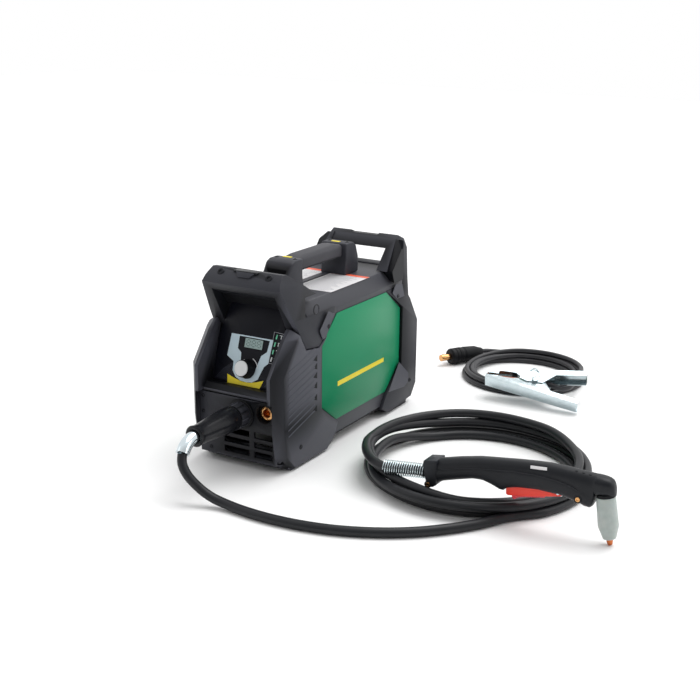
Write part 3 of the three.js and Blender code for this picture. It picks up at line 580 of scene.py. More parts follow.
def makeFrontGuard():
    fitted("front_bumper", "frontGuard", blackAbs, guardSet["edge"])
    front, back = guardSet["ribSpan"]
    half = guardSet["ribHalf"]
    for side in (-1, 1):
        tag = sideTag(side)
        ribs = []
        for i in range(guardSet["ribCount"]):
            z = guardSet["ribLow"] + i * guardSet["ribPitch"]
            rise = (back - front) * guardSet["ribRise"]
            points = [(front, z - half), (back, z + rise - half), (back, z + rise + half), (front, z + half)]
            ribs.append(sideSlab("rib", points, side, *guardSet["ribFace"]))
        grille = joined("guardRibs" + tag, ribs)
        moulded(grille, 0.5, 1)
        # the vent openings are not cut: these dark triangles laid on the guard's face are painted shade,
        # standing for the dark inside of the openings
        slots = []
        for z in guardSet["slotHeights"]:
            points = [(-103, z - 2), (-92, z + 5), (-92, z - 6)]
            slots.append(sideSlab("slot", points, side, *guardSet["slotFace"]))
        finishPiece(joined("guardVentShade" + tag, slots), blackNylonAndShade, "unit")
        screw("guardScrew" + tag, side * 86, -139.4, 34.2, (side, 0, 0))


def makeHood():
    hood = fromFrame("front_hood", "frontHood")
    carve(hood, prism("notch", [(-24.5, 318), (24.5, 318), (24.5, 311.2), (-24.5, 311.2)], "Y", -166, -150))
    moulded(hood, guardSet["edge"], replaced=["front_hood"])
    strip = block("hoodStrip", -22.5, 22.5, -164.5, -151, 309.8, 312.2)
    finishPiece(soften(strip, 0.6), blackOxide, "unit")
    tab = prism("hoodTab", [(-15, 0), (-9, -9), (12, -9), (19, 0)], "Z", 0, 1.4,
                unitFrame @ Matrix.Translation((0, -165.6, 311)) @ Matrix.Rotation(math.radians(52), 4, "X"))
    moulded(tab, 0.5)
    for side in (-1, 1):
        tag = sideTag(side)
        screw("hoodScrew" + tag, side * 44.7, -166, 307.4, (0, -0.72, 0.7), 6)
        plate = sideSlab("armPlate" + tag, [(-57, 238), (-84, 212), (-75, 195), (-66, 196), (-38, 229)],
                         side, 85.2, 86)
        moulded(plate, 0.5, 1)
        screw("armScrew" + tag, side * 86, -56.5, 213, (side, 0, 0), 4)
        boss = spun("armBoss" + tag, [(6.2, 0), (8.6, 0), (8.2, 0.9), (6.6, 0.9), (6.2, 0)],
                    (side * 85, -94, 249), (side, 0, 0.02), 28)
        finishPiece(boss, blackAbs, "unit")


def makeCover():
    fitted("main_shell", "shellCover", greyAbs, 3)
    for side in (-1, 1):
        tag = sideTag(side)
        panel = fromFrame("side_panel_" + tag.lower(), "sidePanel" + tag)
        finishPiece(soften(panel, 0.8), greenCoat, "unit", ["side_panel_" + tag.lower()])
        stripe = sideSlab("sideStripe" + tag, [(-21, 109.9), (136, 110.7), (136, 103.2), (-21, 101.6)], side,
                          82, 82.25)
        finishPiece(stripe, yellowInk)
    fitted("base_tray", "baseTray", blackOxide, 0.6)


# the two labels and the strap lie on the cover's top; printed lines are plain rules
labelSet = {"level": 258.0, "sheet": 0.2, "ink": 0.08, "bandInk": 0.1, "band": 11, "firstRow": 16,
            "rowPitch": 5.6, "margin": 4, "shortest": 0.72, "ruleHalf": 0.7, "strap": 1.2}


def makeLabels():
    z, face = labelSet["level"], labelSet["level"] + labelSet["sheet"]
    shortest, margin, half = (labelSet[k] for k in ("shortest", "margin", "ruleHalf"))
    for tag, x0, x1, y0, y1 in (("Right", -6, 66, -18, 110), ("Left", -64, -22, 24, 116)):
        finishPiece(block("topLabel" + tag, x0, x1, y0, y1, z, face), whiteVinyl)
        finishPiece(block("labelBand" + tag, x0, x1, y1 - labelSet["band"], y1, face,
                          face + labelSet["bandInk"]), redVinyl)
        rules = []
        top = y1 - labelSet["firstRow"]
        for i in range(int((top - y0) / labelSet["rowPitch"])):
            y = top - i * labelSet["rowPitch"]
            span = (x1 - x0 - 2 * margin) * (shortest + (1 - shortest) * random.random())
            rules.append(block("rule", x0 + margin, x0 + margin + span, y - half, y + half, face,
                               face + labelSet["ink"]))
        finishPiece(joined("labelRules" + tag, rules), greyInk)
    strap = block("topStrap", -20.5, -7.5, -26, 124, z, z + labelSet["strap"])
    moulded(strap, 0.5, 1)


def makeRearGuard():
    guard = fromFrame("rear_bumper", "rearGuard")
    notch = prism("notch", [(-30, 320), (30, 320), (27, 311.6), (-27, 311.6)], "Y", 205, 240)
    carve(guard, notch)
    for side in (-1, 1):
        cheek = sideSlab("hoopCheek" + sideTag(side), [(158, 260), (200, 309), (212, 306), (216, 262),
                (206, 240), (166, 240)], side, 58, 85)
        carve(cheek, prism("slope", [(side * 64, 318), (side * 90, 318), (side * 90, 290)], "Y", 140, 240))
        carve(cheek, prism("back", [(side * 90, 196), (side * 86, 196), (side * 72, 220), (side * 90, 220)],
                           "Z", 220, 320))
        moulded(cheek, guardSet["edge"])
    moulded(guard, guardSet["edge"], replaced=["rear_bumper"])
    for side in (-1, 1):
        tag = sideTag(side)
        plate = sideSlab("cornerPlate" + tag, [(187, 89), (224, 59), (224, 44), (209, 37.8), (150, 44)],
                         side, 85.4, 86.6)
        moulded(plate, 0.6, 1)
        tab = sideSlab("rearTab" + tag, [(160, 222), (196, 193), (206, 207), (196, 232), (172, 236)], side,
                       83.4, 84.4)
        moulded(tab, 0.5, 1)
        screw("rearTabScrew" + tag, side * 84.4, 181.2, 212.4, (side, 0, 0), 4)
        screw("rearLowScrew" + tag, side * 86.1, 231, 44, (side, 0, 0), 4)
        screw("rearTopScrew" + tag, side * 62, 232, 280, (0, 1, 0.05), 4)


def makeHandle():
    for which, y in (("front", -50), ("rear", 115)):
        tag = which.capitalize()
        post = fromFrame("handle_post_" + which, "handlePost" + tag)
        if which == "front":
            slot = prism("slot", [(-18, 0), (18, 0), (18, 5), (-18, 5)], "Z", -6, 6, unitFrame
                         @ Matrix.Translation((0, -78, 293)) @ Matrix.Rotation(math.radians(57), 4, "X"))
            carve(post, slot)
            # the deep black block set into the slot is painted shade: it stands for the dark inside of the
            # slot
            well = block("handleSlotShade", -17.5, 17.5, -76, -66, 288, 299)
            finishPiece(well, blackNylonAndShade)
        moulded(post, 2.4, replaced=["handle_post_" + which])
        for side in (-1, 1):
            screw("post" + tag + "Screw" + sideTag(side), side * 17.5, y, 313, (0, 0, 1), 4)
        accent = block("gripAccent" + tag, -10, 6, y + (4 if which == "front" else -9),
                       y + (11 if which == "front" else -2), 313, 313.6)
        finishPiece(soften(accent, 0.3, 1), yellowInk)
    fitted("handle_grip", "handleGrip", gripRubber, 3)


makeFrontGuard()
makeHood()
makeCover()
makeLabels()
makeRearGuard()
makeHandle()
print("housing made")

# ---- control panel: everything on the overlay is in millimetres across and up the panel ----
panelSet = {"tilt": math.atan2(39, 123), "foot": (0, -169.8, 127.8), "knobAt": 28.4}
panelFrame = (unitFrame @ Matrix.Translation(panelSet["foot"])
              @ Matrix.Rotation(math.pi / 2 - panelSet["tilt"], 4, "X"))
frameShape = [(-39.9, 79.8), (39, 80.2), (36.4, 42.2), (30, 36.6), (22, 15), (12, 9), (2, 7.6), (-10, 8.6),
              (-20, 13), (-27, 22), (-28, 36.6), (-42, 44)]
darkShape = [(-24, 78), (33, 78), (31, 60), (21.5, 52.4), (15, 30), (10, 22), (-10, 22), (-14.6, 38.4),
             (-16.4, 52.6), (-24, 58)]
bowShape = [(-35.9, 15.2), (-20, 10.2), (-6, 7.4), (8, 7.6), (20, 10.4), (33.5, 15), (28.2, 1.6),
            (-33.1, 1.4)]
hatchSet = {"count": 13, "foot": 6, "height": 30, "fall": 2, "weight": 0.7,
            "runs": ((-58, 2.6, 14), (36, 1.9, 13))}
# a ring of white arc segments round the knob's upper right: a painted highlight, standing for a glint of
# light beside the knob
knobHighlightSet = {"from": 12, "pitch": 8, "count": 7, "inner": 18.2, "outer": 19.4}
segmentSet = {"digitWidth": 6.4, "digitHeight": 9.6, "stroke": 1.3, "xs": (-5.6, 4.4, 14.4), "y": 69.2,
              "gap": 0.7}


def flat(name, points, low, high, material):
    return finishPiece(prism(name, points, "Z", low, high, panelFrame), material)


def digits():
    w, h, s = (segmentSet[k] for k in ("digitWidth", "digitHeight", "stroke"))
    bars = []
    for x in segmentSet["xs"]:
        y = segmentSet["y"]
        for dy in (-h / 2, 0, h / 2):
            bars.append(block("bar", x - w / 2 + s, x + w / 2 - s, y + dy - s / 2, y + dy + s / 2, 0.5, 0.6,
                              panelFrame))
        for dx in (-w / 2, w / 2):
            for dy in (-h / 4, h / 4):
                half = h / 4 - s * segmentSet["gap"]
                bars.append(block("bar", x + dx - s / 2, x + dx + s / 2, y + dy - half, y + dy + half, 0.5,
                        0.6, panelFrame))
    return joined("displayDigits", bars)


def makePanel():
    fitted("control_panel", "controlPanel", overlayFilm, 0.5)
    pale = prism("overlayFrame", frameShape, "Z", 0, 0.25, panelFrame)
    finishPiece(soften(pale, 0.1, 1), paleInk)
    flat("overlayWell", darkShape, 0.25, 0.4, overlayFilm)
    flat("overlayBow", bowShape, 0.25, 0.4, yellowInk)
    fitted("display_window", "displayWindow", displayGlass, 0.3)
    finishPiece(digits(), segmentGrey)
    flat("displayFace", [(-12.6, 61.5), (21.6, 61.5), (21.6, 76.5), (-12.6, 76.5)], 0.4, 0.5, displayGlass)
    bezel = []
    for x0, x1, y0, y1 in ((-13.6, 22.6, 60.6, 61.6), (-13.6, 22.6, 76.4, 77.4), (-13.6, -12.5, 60.6, 77.4),
                           (21.5, 22.6, 60.6, 77.4)):
        bezel.append(block("bezel", x0, x1, y0, y1, 0.25, 1.1, panelFrame))
    finishPiece(joined("displayBezel", bezel), blackNylonAndShade)
    strip = fromFrame("status_lens", "statusStrip")
    finishPiece(strip, overlayFilm, "unit", ["status_lens"])
    for i, (x, y) in enumerate(((44.3, 86), (43.1, 74), (41.9, 62), (40.9, 50))):
        lens = prism("statusLens" + str(i), [(x - 1.4, y - 3.6), (x + 1.0, y - 3.6), (x + 1.9, y + 3.6),
                                             (x - 0.5, y + 3.6)], "Z", 0.4, 1.0, panelFrame)
        finishPiece(soften(lens, 0.25, 1), mintLens if i < 3 else paleLens, "unit")
    icons = []
    for (x, y), marks in zip(((52.3, 86), (51.2, 74), (49.8, 62), (48.6, 50)), (1, 3, 2, 2)):
        for k in range(marks):
            dx = (k - (marks - 1) / 2) * 2.1
            icons.append(prism("mark", [(x + dx - 0.6, y - 2.4), (x + dx + 0.6, y - 2.4),
                    (x + dx + 1, y + 2.4), (x + dx - 0.2, y + 2.4)], "Z", 0.02, 0.2, panelFrame))
        icons.append(block("mark", x - 3, x + 3, y + 2.6, y + 3.4, 0.02, 0.2, panelFrame))
    finishPiece(joined("statusMarks", icons), whiteInkAndHighlight)
    outline = []
    box = [(38.5, 93), (57.5, 92), (55, 43.5), (36.8, 43.5)]
    for (x0, y0), (x1, y1) in zip(box, box[1:] + box[:1]):
        along = Vector((x1 - x0, y1 - y0)).normalized() * 0.3
        outline.append(prism("line", [(x0 - along.y, y0 + along.x), (x0 + along.y, y0 - along.x),
                (x1 + along.y, y1 - along.x), (x1 - along.y, y1 + along.x)], "Z", 0.02, 0.15, panelFrame))
    finishPiece(joined("statusOutline", outline), greyInk)
    hatch = []
    foot, weight = hatchSet["foot"], hatchSet["weight"]
    for i in range(hatchSet["count"]):
        top = foot + hatchSet["height"] - abs(i - hatchSet["count"] // 2) * hatchSet["fall"]
        for start, pitch, lean in hatchSet["runs"]:
            x0 = start + i * pitch
            x1 = x0 + lean
            hatch.append(prism("line", [(x0, foot), (x0 + weight, foot), (x1 + weight, top), (x1, top)], "Z",
                    0.02, 0.1, panelFrame))
    finishPiece(joined("overlayHatch", hatch), faintInk)
    # the painted highlight arc beside the knob, in white
    arc = []
    knobAt, inner, outer = panelSet["knobAt"], knobHighlightSet["inner"], knobHighlightSet["outer"]
    for i in range(knobHighlightSet["count"]):
        a0, a1 = (math.radians(knobHighlightSet["from"] + (i + k) * knobHighlightSet["pitch"]) for k in (0, 1))
        ring = [(r * math.cos(a), knobAt + r * math.sin(a))
                for r, a in ((inner, a0), (outer, a0), (outer, a1), (inner, a1))]
        arc.append(prism("arc", ring, "Z", 0.4, 0.5, panelFrame))
    finishPiece(joined("knobHighlightArc", arc), whiteInkAndHighlight)
    base = spun("outputKnob", [(0, 0.6), (15.4, 0.6), (15.6, 2.4), (14.6, 3.2), (13.6, 16.6), (12.9, 17.6),
                               (10.9, 17.8), (0, 17.8)], (0, knobAt, 0), (0, 0, 1), 64, panelFrame)
    finishPiece(soften(base, 0.4), blackNylonAndShade, "knob", ["output_knob"])
    cap = spun("knobCap", [(0, 17.8), (12.2, 17.8), (12.2, 18.6), (11.6, 19.1), (0, 19.3)], (0, knobAt, 0),
               (0, 0, 1), 64, panelFrame)
    finishPiece(cap, knobCap, "knob")
    pointer = block("knobMark", -0.5, 0.5, 38, 43, 12, 13.4, panelFrame)
    finishPiece(pointer, whiteInkAndHighlight, "knob")
    # the underside of the hood lip: a real surface, but its deeper black is painted shade under the lip
    ceiling = prism("shadedRecessCeiling", [(-129, 248), (-151, 274), (-165, 285), (-161, 292), (-140, 284),
            (-122, 252)], "X", -60, 60)
    finishPiece(soften(ceiling, 1.2), blackNylonAndShade, "unit")
    screw("recessScrew", -12, -148, 273.5, (0.1, -0.9, -0.35), 5)
    fitted("control_board", "controlBoard", solderMask, 0.2, segments=1)


# ---- lower front: plate, sockets, nut, boot and sleeve ----
# the sleeve's mouth: rings counted from its end, with their share of its radius
sleeveSet = {"radius": 10.2, "sides": 40, "mouth": ((-1, 1.02), (-1, 0.78), (-4, 0.78)), "core": 0.2}
sleeveRoute = ((6, -301, 90), (6, -310, 89.6), (6, -322, 87), (7, -333, 81), (8, -340.3, 73.6))


def makeLowerFront():
    fitted("front_plate", "frontPlate", blackAbs, 1.0)
    for i, (x, z) in enumerate(((-66, 108), (-66, 82), (67.5, 50), (67.5, 30), (-52, 24))):
        screw("plateScrew" + str(i), x, -190, z, (0, -1, 0), 3.2)
    fitted("work_socket_insulator", "workSocketRing", blackNylonAndShade, 0.6)
    fitted("work_socket", "workSocketBrass", turnedBrass, 0.5)
    fitted("torch_socket", "torchSocket", blackNylonAndShade, 0.5)
    fitted("torch_coupling_nut", "couplingNut", blackAbs, 0.5, body="coupling_nut")
    mouth, start = Vector((6, -309, 90)), Vector((8, -199, 91))
    long = (start - mouth).length
    boot = spun("leadBoot", [(10.9, 0.4), (12.4, -0.4), (15.4, 0), (16.8, 1.4), (16.2, 5), (15.5, 10),
            (16.4, 26), (17.9, 45), (19.3, 62), (20, 74), (20, 82), (19.4, 84), (19.8, 86), (19.8, 91.4),
            (19, 92.4), (16.6, 92.6), (16.6, long - 16.5), (11.6, long - 16), (11.6, long), (8, long),
            (8, 14), (10.9, 10)], mouth, start - mouth, 64)
    smooth(boot, 38)
    finishPiece(boot, glossBoot, "unit", ["lead_boot"])
    line = curveThrough([Vector(p) for p in sleeveRoute], 6)
    rings = []
    previous = Vector((1, 0, 0))
    for i, spot in enumerate(line):
        ahead = (line[min(i + 1, len(line) - 1)] - line[max(i - 1, 0)]).normalized()
        previous = (previous - ahead * previous.dot(ahead)).normalized()
        other = ahead.cross(previous)
        rings.append([spot + (previous * math.cos(a) + other * math.sin(a)) * sleeveSet["radius"]
                      for a in (2 * math.pi * k / sleeveSet["sides"] for k in range(sleeveSet["sides"]))])
    lip, bore, floor = ([line[i] + (p - line[i]) * share for p in rings[i]]
                        for i, share in sleeveSet["mouth"])
    sleeve = lofted("leadSleeve", rings + [lip, bore, floor,
            [line[-4] + (p - line[-4]) * sleeveSet["core"] for p in floor]])
    smooth(sleeve, 40)
    finishPiece(sleeve, nickel, "unit", ["lead_sleeve"])


# ---- back of the unit ----
def makeBack():
    for nodeName, name, material, slot, body, edge in (
            ("rear_panel", "rearPanel", blackAbs, "dark_plastic", "unit", 0.5),
            ("mains_gland", "mainsGland", blackNylonAndShade, "dark_plastic", "unit", 0.5),
            ("air_inlet", "airInlet", turnedBrass, "brass", "unit", 0.3),
            ("switch_housing", "switchHousing", blackNylonAndShade, "dark_plastic", "unit", 0.6),
            ("power_switch", "powerSwitch", triggerRed, "red_plastic", "rocker", 0.6),
            ("fan_frame", "fanFrame", blackNylonAndShade, "dark_plastic", "unit", 0.5),
            ("fan_rotor", "fanRotor", blackNylonAndShade, "dark_plastic", "fan", 0.4),
            ("heat_sink", "heatSink", finAluminium, "aluminium", "unit", 0.2),
            ("transformer", "transformer", coreSteel, "core", "unit", 1.0),
            ("solenoid_valve", "solenoidValve", turnedBrass, "brass", "unit", 0.5)):
        fitted(nodeName, name, material, edge, body)
    for i, (x, z) in enumerate(((-60, 232), (60, 232), (-60, 34), (60, 34))):
        screw("rearScrew" + str(i), x, 210, z, (0, 1, 0), 3.6)
    for i, (x, z) in enumerate(((-41, 196), (41, 196), (-41, 114), (41, 114))):
        screw("fanScrew" + str(i), x, 210, z, (0, 1, 0), 3)
    plate = block("ratingPlate", 14, 62, 210, 210.3, 212, 232)
    finishPiece(plate, whiteVinyl)
    onFrame("power_board", solderMask)


makePanel()
makeLowerFront()
makeBack()
print("panel, sockets and back made")

# ---- hand torch: millimetres from its tail, x along it, z up ----
torchSet = {"half": 15.2, "tail": 13.8, "head": 14.2, "tipAt": 278, "headAt": 267.5, "squareness": 2.7,
            "seam": 0.0009, "seamIn": 0.1, "taper": 115, "nose": 15.2, "noseEnd": 0.02, "topShell": 0.93}
torchTop = [(-2, 66), (0, 69.5), (5, 70.8), (17, 72.5), (48, 81), (79, 88), (110, 92.5), (140, 96.5),
            (163, 99), (185, 101), (207, 101.3), (229, 100.3), (252, 99.4), (264, 98.9), (272, 97.8),
            (277.5, 95), (281, 88), (282.2, 80)]
torchLow = [(-2, 44), (0, 40), (5, 38), (17, 35), (25, 40), (49, 47.5), (73, 54.3), (88, 55.5), (104, 51.3),
            (114, 47.3), (119, 46), (124, 51), (142, 56), (172, 59.6), (210, 58.6), (222, 56), (236, 53.6),
            (242, 49.9), (248, 50.4), (252.5, 54), (254.4, 64), (255, 71.6), (283, 73.4)]
torchRidge = [(-2, 54), (18, 58), (48, 67), (80, 74.4), (111, 79), (141, 83), (171, 85), (201, 83.6),
              (223, 79.6), (245, 70), (256, 60), (262, 50), (293, 50)]


def between(points, x):
    for (x0, y0), (x1, y1) in zip(points, points[1:]):
        if x <= x1:
            return y0 + (y1 - y0) * max(0, (x - x0)) / (x1 - x0)
    return points[-1][1]


def torchRing(x, sides=56):
    top, low, ridge = between(torchTop, x), between(torchLow, x), between(torchRidge, x)
    half = torchSet["half"]
    if x < torchSet["taper"]:
        half = torchSet["tail"] + (half - torchSet["tail"]) * max(0, x) / torchSet["taper"]
    if x > torchSet["headAt"]:
        reach = (x - torchSet["headAt"]) / torchSet["nose"]
        half = torchSet["head"] * math.sqrt(max(torchSet["noseEnd"], 1 - reach * reach))
    power = 2 / torchSet["squareness"]
    ring = []
    for k in range(sides):
        angle = 2 * math.pi * k / sides
        c, s = math.cos(angle), math.sin(angle)
        y = half * math.copysign(abs(c) ** power, c)
        z = (top + low) / 2 + (top - low) / 2 * math.copysign(abs(s) ** power, s)
        if z > ridge:
            y *= torchSet["topShell"]
        ring.append(Vector((x, y, z)))
    return ring


def makeTorch():
    steps = sorted(set([1, 3, 5, 8, 12, 17, 21, 25, 30] + list(range(36, 246, 6)) + [248, 251, 253, 254.4,
            255, 257, 260, 264, 267.5, 270, 272.5, 275, 277, 278.6, 280, 281.2, 282.1]))
    shell = lofted("torchShells", [torchRing(x) for x in steps], torchFrame)
    slot = prism("slot", [(121, 30), (121, 49), (126, 60), (206, 66), (212, 62), (214, 30)], "Y", -9.3, 9.3,
                 torchFrame)
    bore = spun("bore", [(0, 60), (11.6, 60), (11.6, 76), (0, 76)], (269, 0, 0), (0, 0, 1), 32, torchFrame)
    carve(shell, slot)
    carve(shell, bore)
    smooth(shell, 34)
    finishPiece(shell, torchNylon, "unit", ["torch_shell_right", "torch_shell_left"])
    for side in (-1, 1):
        run = []
        for x in range(14, 250, 6):
            top, low, ridge = between(torchTop, x), between(torchLow, x), between(torchRidge, x)
            sine = max(-1, min(1, (ridge - (top + low) / 2) / ((top - low) / 2)))
            lift = math.copysign(abs(sine) ** (torchSet["squareness"] / 2), sine)
            half = torchRing(x, 4)[0].y
            share = math.sqrt(1 - lift * lift) ** (2 / torchSet["squareness"])
            run.append(Vector((x, side * (half * share - torchSet["seamIn"]), ridge)))
        line = [torchFrame @ p for p in curveThrough(run, 3)]
        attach(wire("torchSeam" + sideTag(-side), line, torchSet["seam"], torchNylon), "unit")
    fitted("torch_collar", "torchCollar", torchNylon, 1.6)
    boot = spun("strainRing", [(8.2, -7), (10.6, -7), (11.4, -5.6), (11.4, -1), (8.2, -1), (8.2, -7)],
                (0, 0, 47), (1, 0, 0.02), 36, torchFrame)
    finishPiece(boot, blackNylonAndShade, "unit")
    trigger = prism("trigger", [(124.6, 51), (125, 43.6), (128, 42), (150, 46), (190, 54.3), (207, 58.6),
            (209, 61), (206, 66), (199, 67), (150, 62), (127, 57)], "Y", -8.4, 8.4, torchFrame)
    finishPiece(soften(trigger, 1.6, 3), triggerRed, "trigger", ["torch_trigger"])
    catch = prism("safetyCatch", [(132.6, 43.4), (134, 39), (136, 37), (138.5, 38), (143, 41.2), (150, 43.4),
                                  (182, 50), (183.4, 52.4), (140, 43.9)], "Y", -5.8, 5.8, torchFrame)
    finishPiece(soften(catch, 1.0, 2), catchRed, "release", ["trigger_release"])
    tipMark = block("triggerTip", 200, 207.5, -5, 5, 57, 58.6, torchFrame)
    finishPiece(soften(tipMark, 0.5, 1), whiteInkAndHighlight, "trigger")
    for i, (x, z) in enumerate(((233.5, 62.6), (4.7, 33.5))):
        for side in (-1, 1):
            y = (14.6 if i == 0 else 15.4) * side
            screw("torchScrew" + str(i) + sideTag(-side), x, y, z, (0, side, 0), 3.6, turnedBrass, torchFrame)
            ring = spun("torchBoss" + str(i) + sideTag(-side), [(3.9, -1), (5.6, -1), (5.4, 0.6), (4.1, 0.6),
                    (3.9, -1)], (x, y, z), (0, side, 0), 28, torchFrame)
            finishPiece(ring, torchNylon)
    sticker = []
    for x in range(162, 185, 2):
        z0, z1 = between(torchTop, x) - 6.6, between(torchTop, x + 2) - 6.6
        sticker.append(prism("tag", [(x, z0), (x + 2, z1), (x + 2, z1 + 4.2), (x, z0 + 4.2)], "Y", -13.4,
                -12.3, torchFrame))
    finishPiece(joined("torchSticker", sticker), whiteVinyl)
    bumps = []
    for x in (226, 236, 246):
        z = between(torchTop, x)
        bumps.append(spun("bump", [(0, -0.6), (2.6, -0.6), (2.2, 0.7), (1.2, 1.1), (0, 0.5)],
                          (x, -4.6, z - 0.6), (0, -0.3, 1), 20, torchFrame))
    finishPiece(joined("torchBumps", bumps), torchNylon)
    cupFoot, cupLean = (torchSet["tipAt"] + 1.4, 0, 0.4), (-0.16, 0, 1)
    cup = spun("shieldCup", [(10.6, 70.6), (10.6, 30), (4.9, 14), (4.9, 10.2), (8.4, 9.8), (9.2, 10.6),
            (10, 13), (14.1, 26.6), (14.5, 28.4), (14.3, 34), (13.5, 68.8), (13.1, 70.6)], cupFoot, cupLean,
               56, torchFrame)
    finishPiece(soften(cup, 0.5), cupShell, "unit", ["shield_cup"])
    seat = spun("cupSeat", [(0, 62), (11, 62), (11, 69.6), (12.7, 69.6), (12.7, 75), (0, 75)], cupFoot,
                cupLean, 40, torchFrame)
    finishPiece(seat, blackNylonAndShade)
    tip = spun("cuttingTip", [(0, 0.2), (2.4, 0.2), (3.6, 1.4), (4.5, 6), (4.6, 24), (0, 24)], cupFoot,
               cupLean, 32, torchFrame)
    finishPiece(soften(tip, 0.3), turnedCopper, "unit", ["cutting_tip"])
    core = spun("torchHead", [(0, 24.6), (6, 24.6), (7.4, 30), (7.4, 72), (0, 72)], cupFoot, cupLean, 32,
                torchFrame)
    finishPiece(soften(core, 0.4), turnedBrass, "unit", ["torch_head", "electrode"])
    for nodeName, name, material, slot in (("torch_switch", "torchSwitch", blackNylonAndShade, "dark_plastic"),
                                           ("trigger_pin", "triggerPin", zincSteel, "steel")):
        fitted(nodeName, name, material, 0.3)


coilSteps = 26


def coilAlong(name, start, end, radius, gauge, turns, material, body, replaced, place=None):
    start, end = Vector(start), Vector(end)
    along = end - start
    ahead = along.normalized()
    side = ahead.cross(Vector((0, 0, 1)) if abs(ahead.z) < 0.9 else Vector((1, 0, 0))).normalized()
    up = side.cross(ahead)
    points = []
    for i in range(int(turns * coilSteps) + 1):
        angle = 2 * math.pi * i / coilSteps
        at = start + along * (i / (turns * coilSteps))
        points.append((place or unitFrame)
                      @ (at + side * radius * math.cos(angle) + up * radius * math.sin(angle)))
    coil = wire(name, points, gauge / 2000, material, 3)
    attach(coil, body)
    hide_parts(*replaced)
    return coil


# ---- plug and clamp of the work lead ----
def makePlug():
    heading = (0.49, 0.872, 0)
    sleeve = spun("plugSleeve", [(6.8, 0), (13.4, 0), (14.6, 0.8), (16.2, 3.4), (16.2, 10), (15.2, 10.6),
            (15.2, 12), (16.2, 12.6), (16.2, 18), (15.2, 18.6), (15.2, 20), (16.2, 20.6), (16.2, 26),
            (15, 28), (14.8, 31.6), (16, 34), (15.4, 42), (14, 62), (10.4, 72), (8.4, 79), (7.6, 80),
            (5.7, 80), (5.7, 66), (0, 66), (0, 12), (6.8, 12)], (46, 485, 16.6), heading, 48)
    smooth(sleeve, 30)
    finishPiece(sleeve, blackNylonAndShade, "unit", ["work_plug_sleeve"])
    fitted("work_plug_pin", "plugPin", turnedBrass, 0.7)


armShape = [(-92, 1.2), (-92, 11), (-80, 14), (84, 46.6), (88, 45.4), (88, 35), (34, 23), (15, -6), (-15, -6),
            (-34, 1.2)]
armHollow = [(-100, -20), (-100, 9.2), (-92, 9.2), (-80, 12.2), (84, 44.8), (100, 48), (100, -20)]
armMouth = {1: [(-69, -12), (-69, 10), (-58, 11), (-38, 11), (-27, 3), (-33, -6), (-50, -12)],
            -1: [(-69, 12), (-69, -3), (-56, -3.6), (-40, -3), (-30, 3), (-33, 8), (-50, 12)]}


# folded steel arm: a channel with its web outwards, its top flange relieved over the braid
def clampArm(name, side, half, gauge):
    arm = prism(name, [(x, side * y) for x, y in armShape], "Z", -half, half, clampFrame)
    carve(arm, prism("hollow", [(x, side * y) for x, y in armHollow], "Z", gauge - half, half - gauge,
                     clampFrame))
    carve(arm, spun("pinHole", [(0, -20), (4.1, -20), (4.1, 20), (0, 20)], (0, 0, 0), (0, 0, 1), 20,
                    clampFrame))
    carve(arm, prism("mouth", armMouth[side], "Z", half - gauge - 1, half + 2, clampFrame))
    soften(arm, 0.5)
    return arm


springLeg = ((0, 6.6, 7.6), (6, 9, 12.6), (3, 22, 13.6), (-8, 30, 14.2), (-14, 24, 13.4))
toothSet = {"count": 7, "first": -90.6, "pitch": 2.9, "half": 8.6}
braidSet = {"rows": 5, "firstRow": -4.4, "rowPitch": 2.2, "layers": 2, "layerPitch": 1.5, "strand": 0.0008}
# along the arm, away from it, share of the layer's lift, share of the row's width
braidRun = ((-70, 1.9, 1, 1), (-56, 3.0, 1, 0.96), (-42, 4.3, 1, 1), (-30, 4.4, 0.8, 0.9),
            (-25, 4.2, 0.4, 0.8))


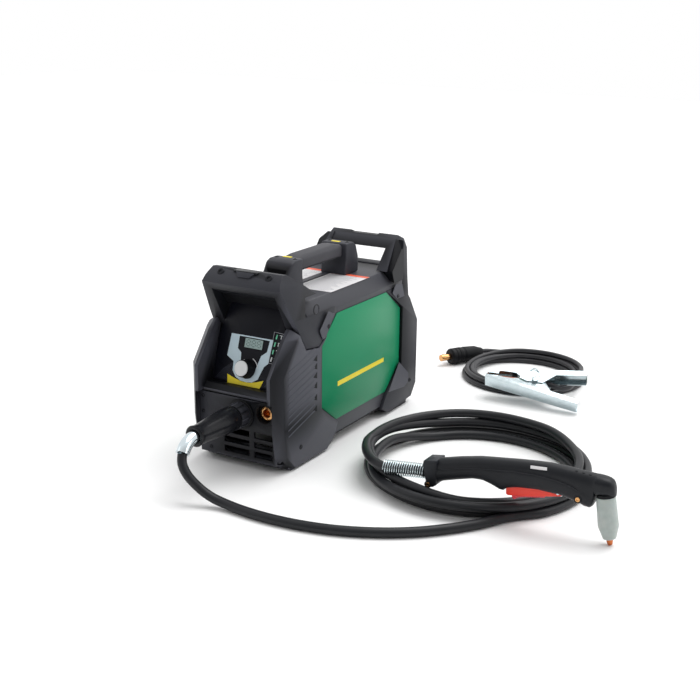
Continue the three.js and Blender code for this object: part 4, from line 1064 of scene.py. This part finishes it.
def makeClamp():
    finishPiece(clampArm("clampArmFixed", 1, 12.3, 1.5), zincSteel, "unit", ["clamp_arm_fixed"])
    finishPiece(clampArm("clampArmMoving", -1, 10.4, 1.4), zincSteel, "clamp_jaw",
                ["clamp_arm_moving"])
    for nodeName, name, material, slot, edge in (
            ("clamp_pivot", "clampPivot", zincSteel, "steel", 0.5),
            ("jaw_contact", "jawContact", turnedCopper, "copper", 0.4),
            ("lug_bolt", "lugBolt", zincSteel, "steel", 0.4)):
        fitted(nodeName, name, material, edge)
    leg = curveThrough([Vector(p) for p in springLeg], 5)
    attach(wire("springLeg", [clampFrame @ p for p in leg], 0.001, zincSteel), "unit")
    teeth = []
    for i in range(toothSet["count"]):
        x = toothSet["first"] + i * toothSet["pitch"]
        teeth.append(prism("tooth", [(x, -1.2), (x + 2.6, -1.2), (x + 1.3, -0.2)], "Z", -toothSet["half"],
                           toothSet["half"], clampFrame))
    finishPiece(joined("jawTeeth", teeth), zincSteel, "clamp_jaw")
    strands = []
    for row in range(braidSet["rows"]):
        for layer in range(braidSet["layers"]):
            z = braidSet["firstRow"] + row * braidSet["rowPitch"]
            lift = layer * braidSet["layerPitch"]
            run = [Vector((x, y + lift * rise, z * spread)) for x, y, rise, spread in braidRun]
            line = [clampFrame @ p for p in curveThrough(run, 5)]
            strands.append(wire("strand", line, braidSet["strand"], turnedCopper))
    finishPiece(joined("copperBraid", strands), turnedCopper, "unit", ["copper_braid"])
    coilAlong("clampSpring", (0, 0, -7.6), (0, 0, 7.6), 6.6, 2, 6, zincSteel, "unit", ["clamp_spring"],
              clampFrame)
    lug = spun("cableLug", [(3.4, 0), (7.4, 0), (7.4, 1.6), (3.4, 1.6), (3.4, 0)], (-80, 14, 0), (0, 1, 0),
               28, clampFrame)
    finishPiece(lug, turnedCopper)
    ferrule = spun("cordFerrule", [(4.9, -10), (6.4, -10), (6.8, -8), (6.8, 8), (6.2, 10), (4.9, 10),
            (4.9, -10)], (-26, 17, 0), (1, 0.2, 0), 28, clampFrame)
    finishPiece(ferrule, zincSteel)


makeTorch()
coilAlong("torchSpring", (250, -163.4, 44.3), (313.6, -151.6, 46.7), 10.6, 1.8, 18, zincSteel, "unit",
          ["torch_spring"])
makePlug()
makeClamp()
print("torch, plug and clamp made")

for name in nodes:
    if not nodes[name].hide_render and not nodes[name].data.materials:
        onFrame(name, blackNylonAndShade)
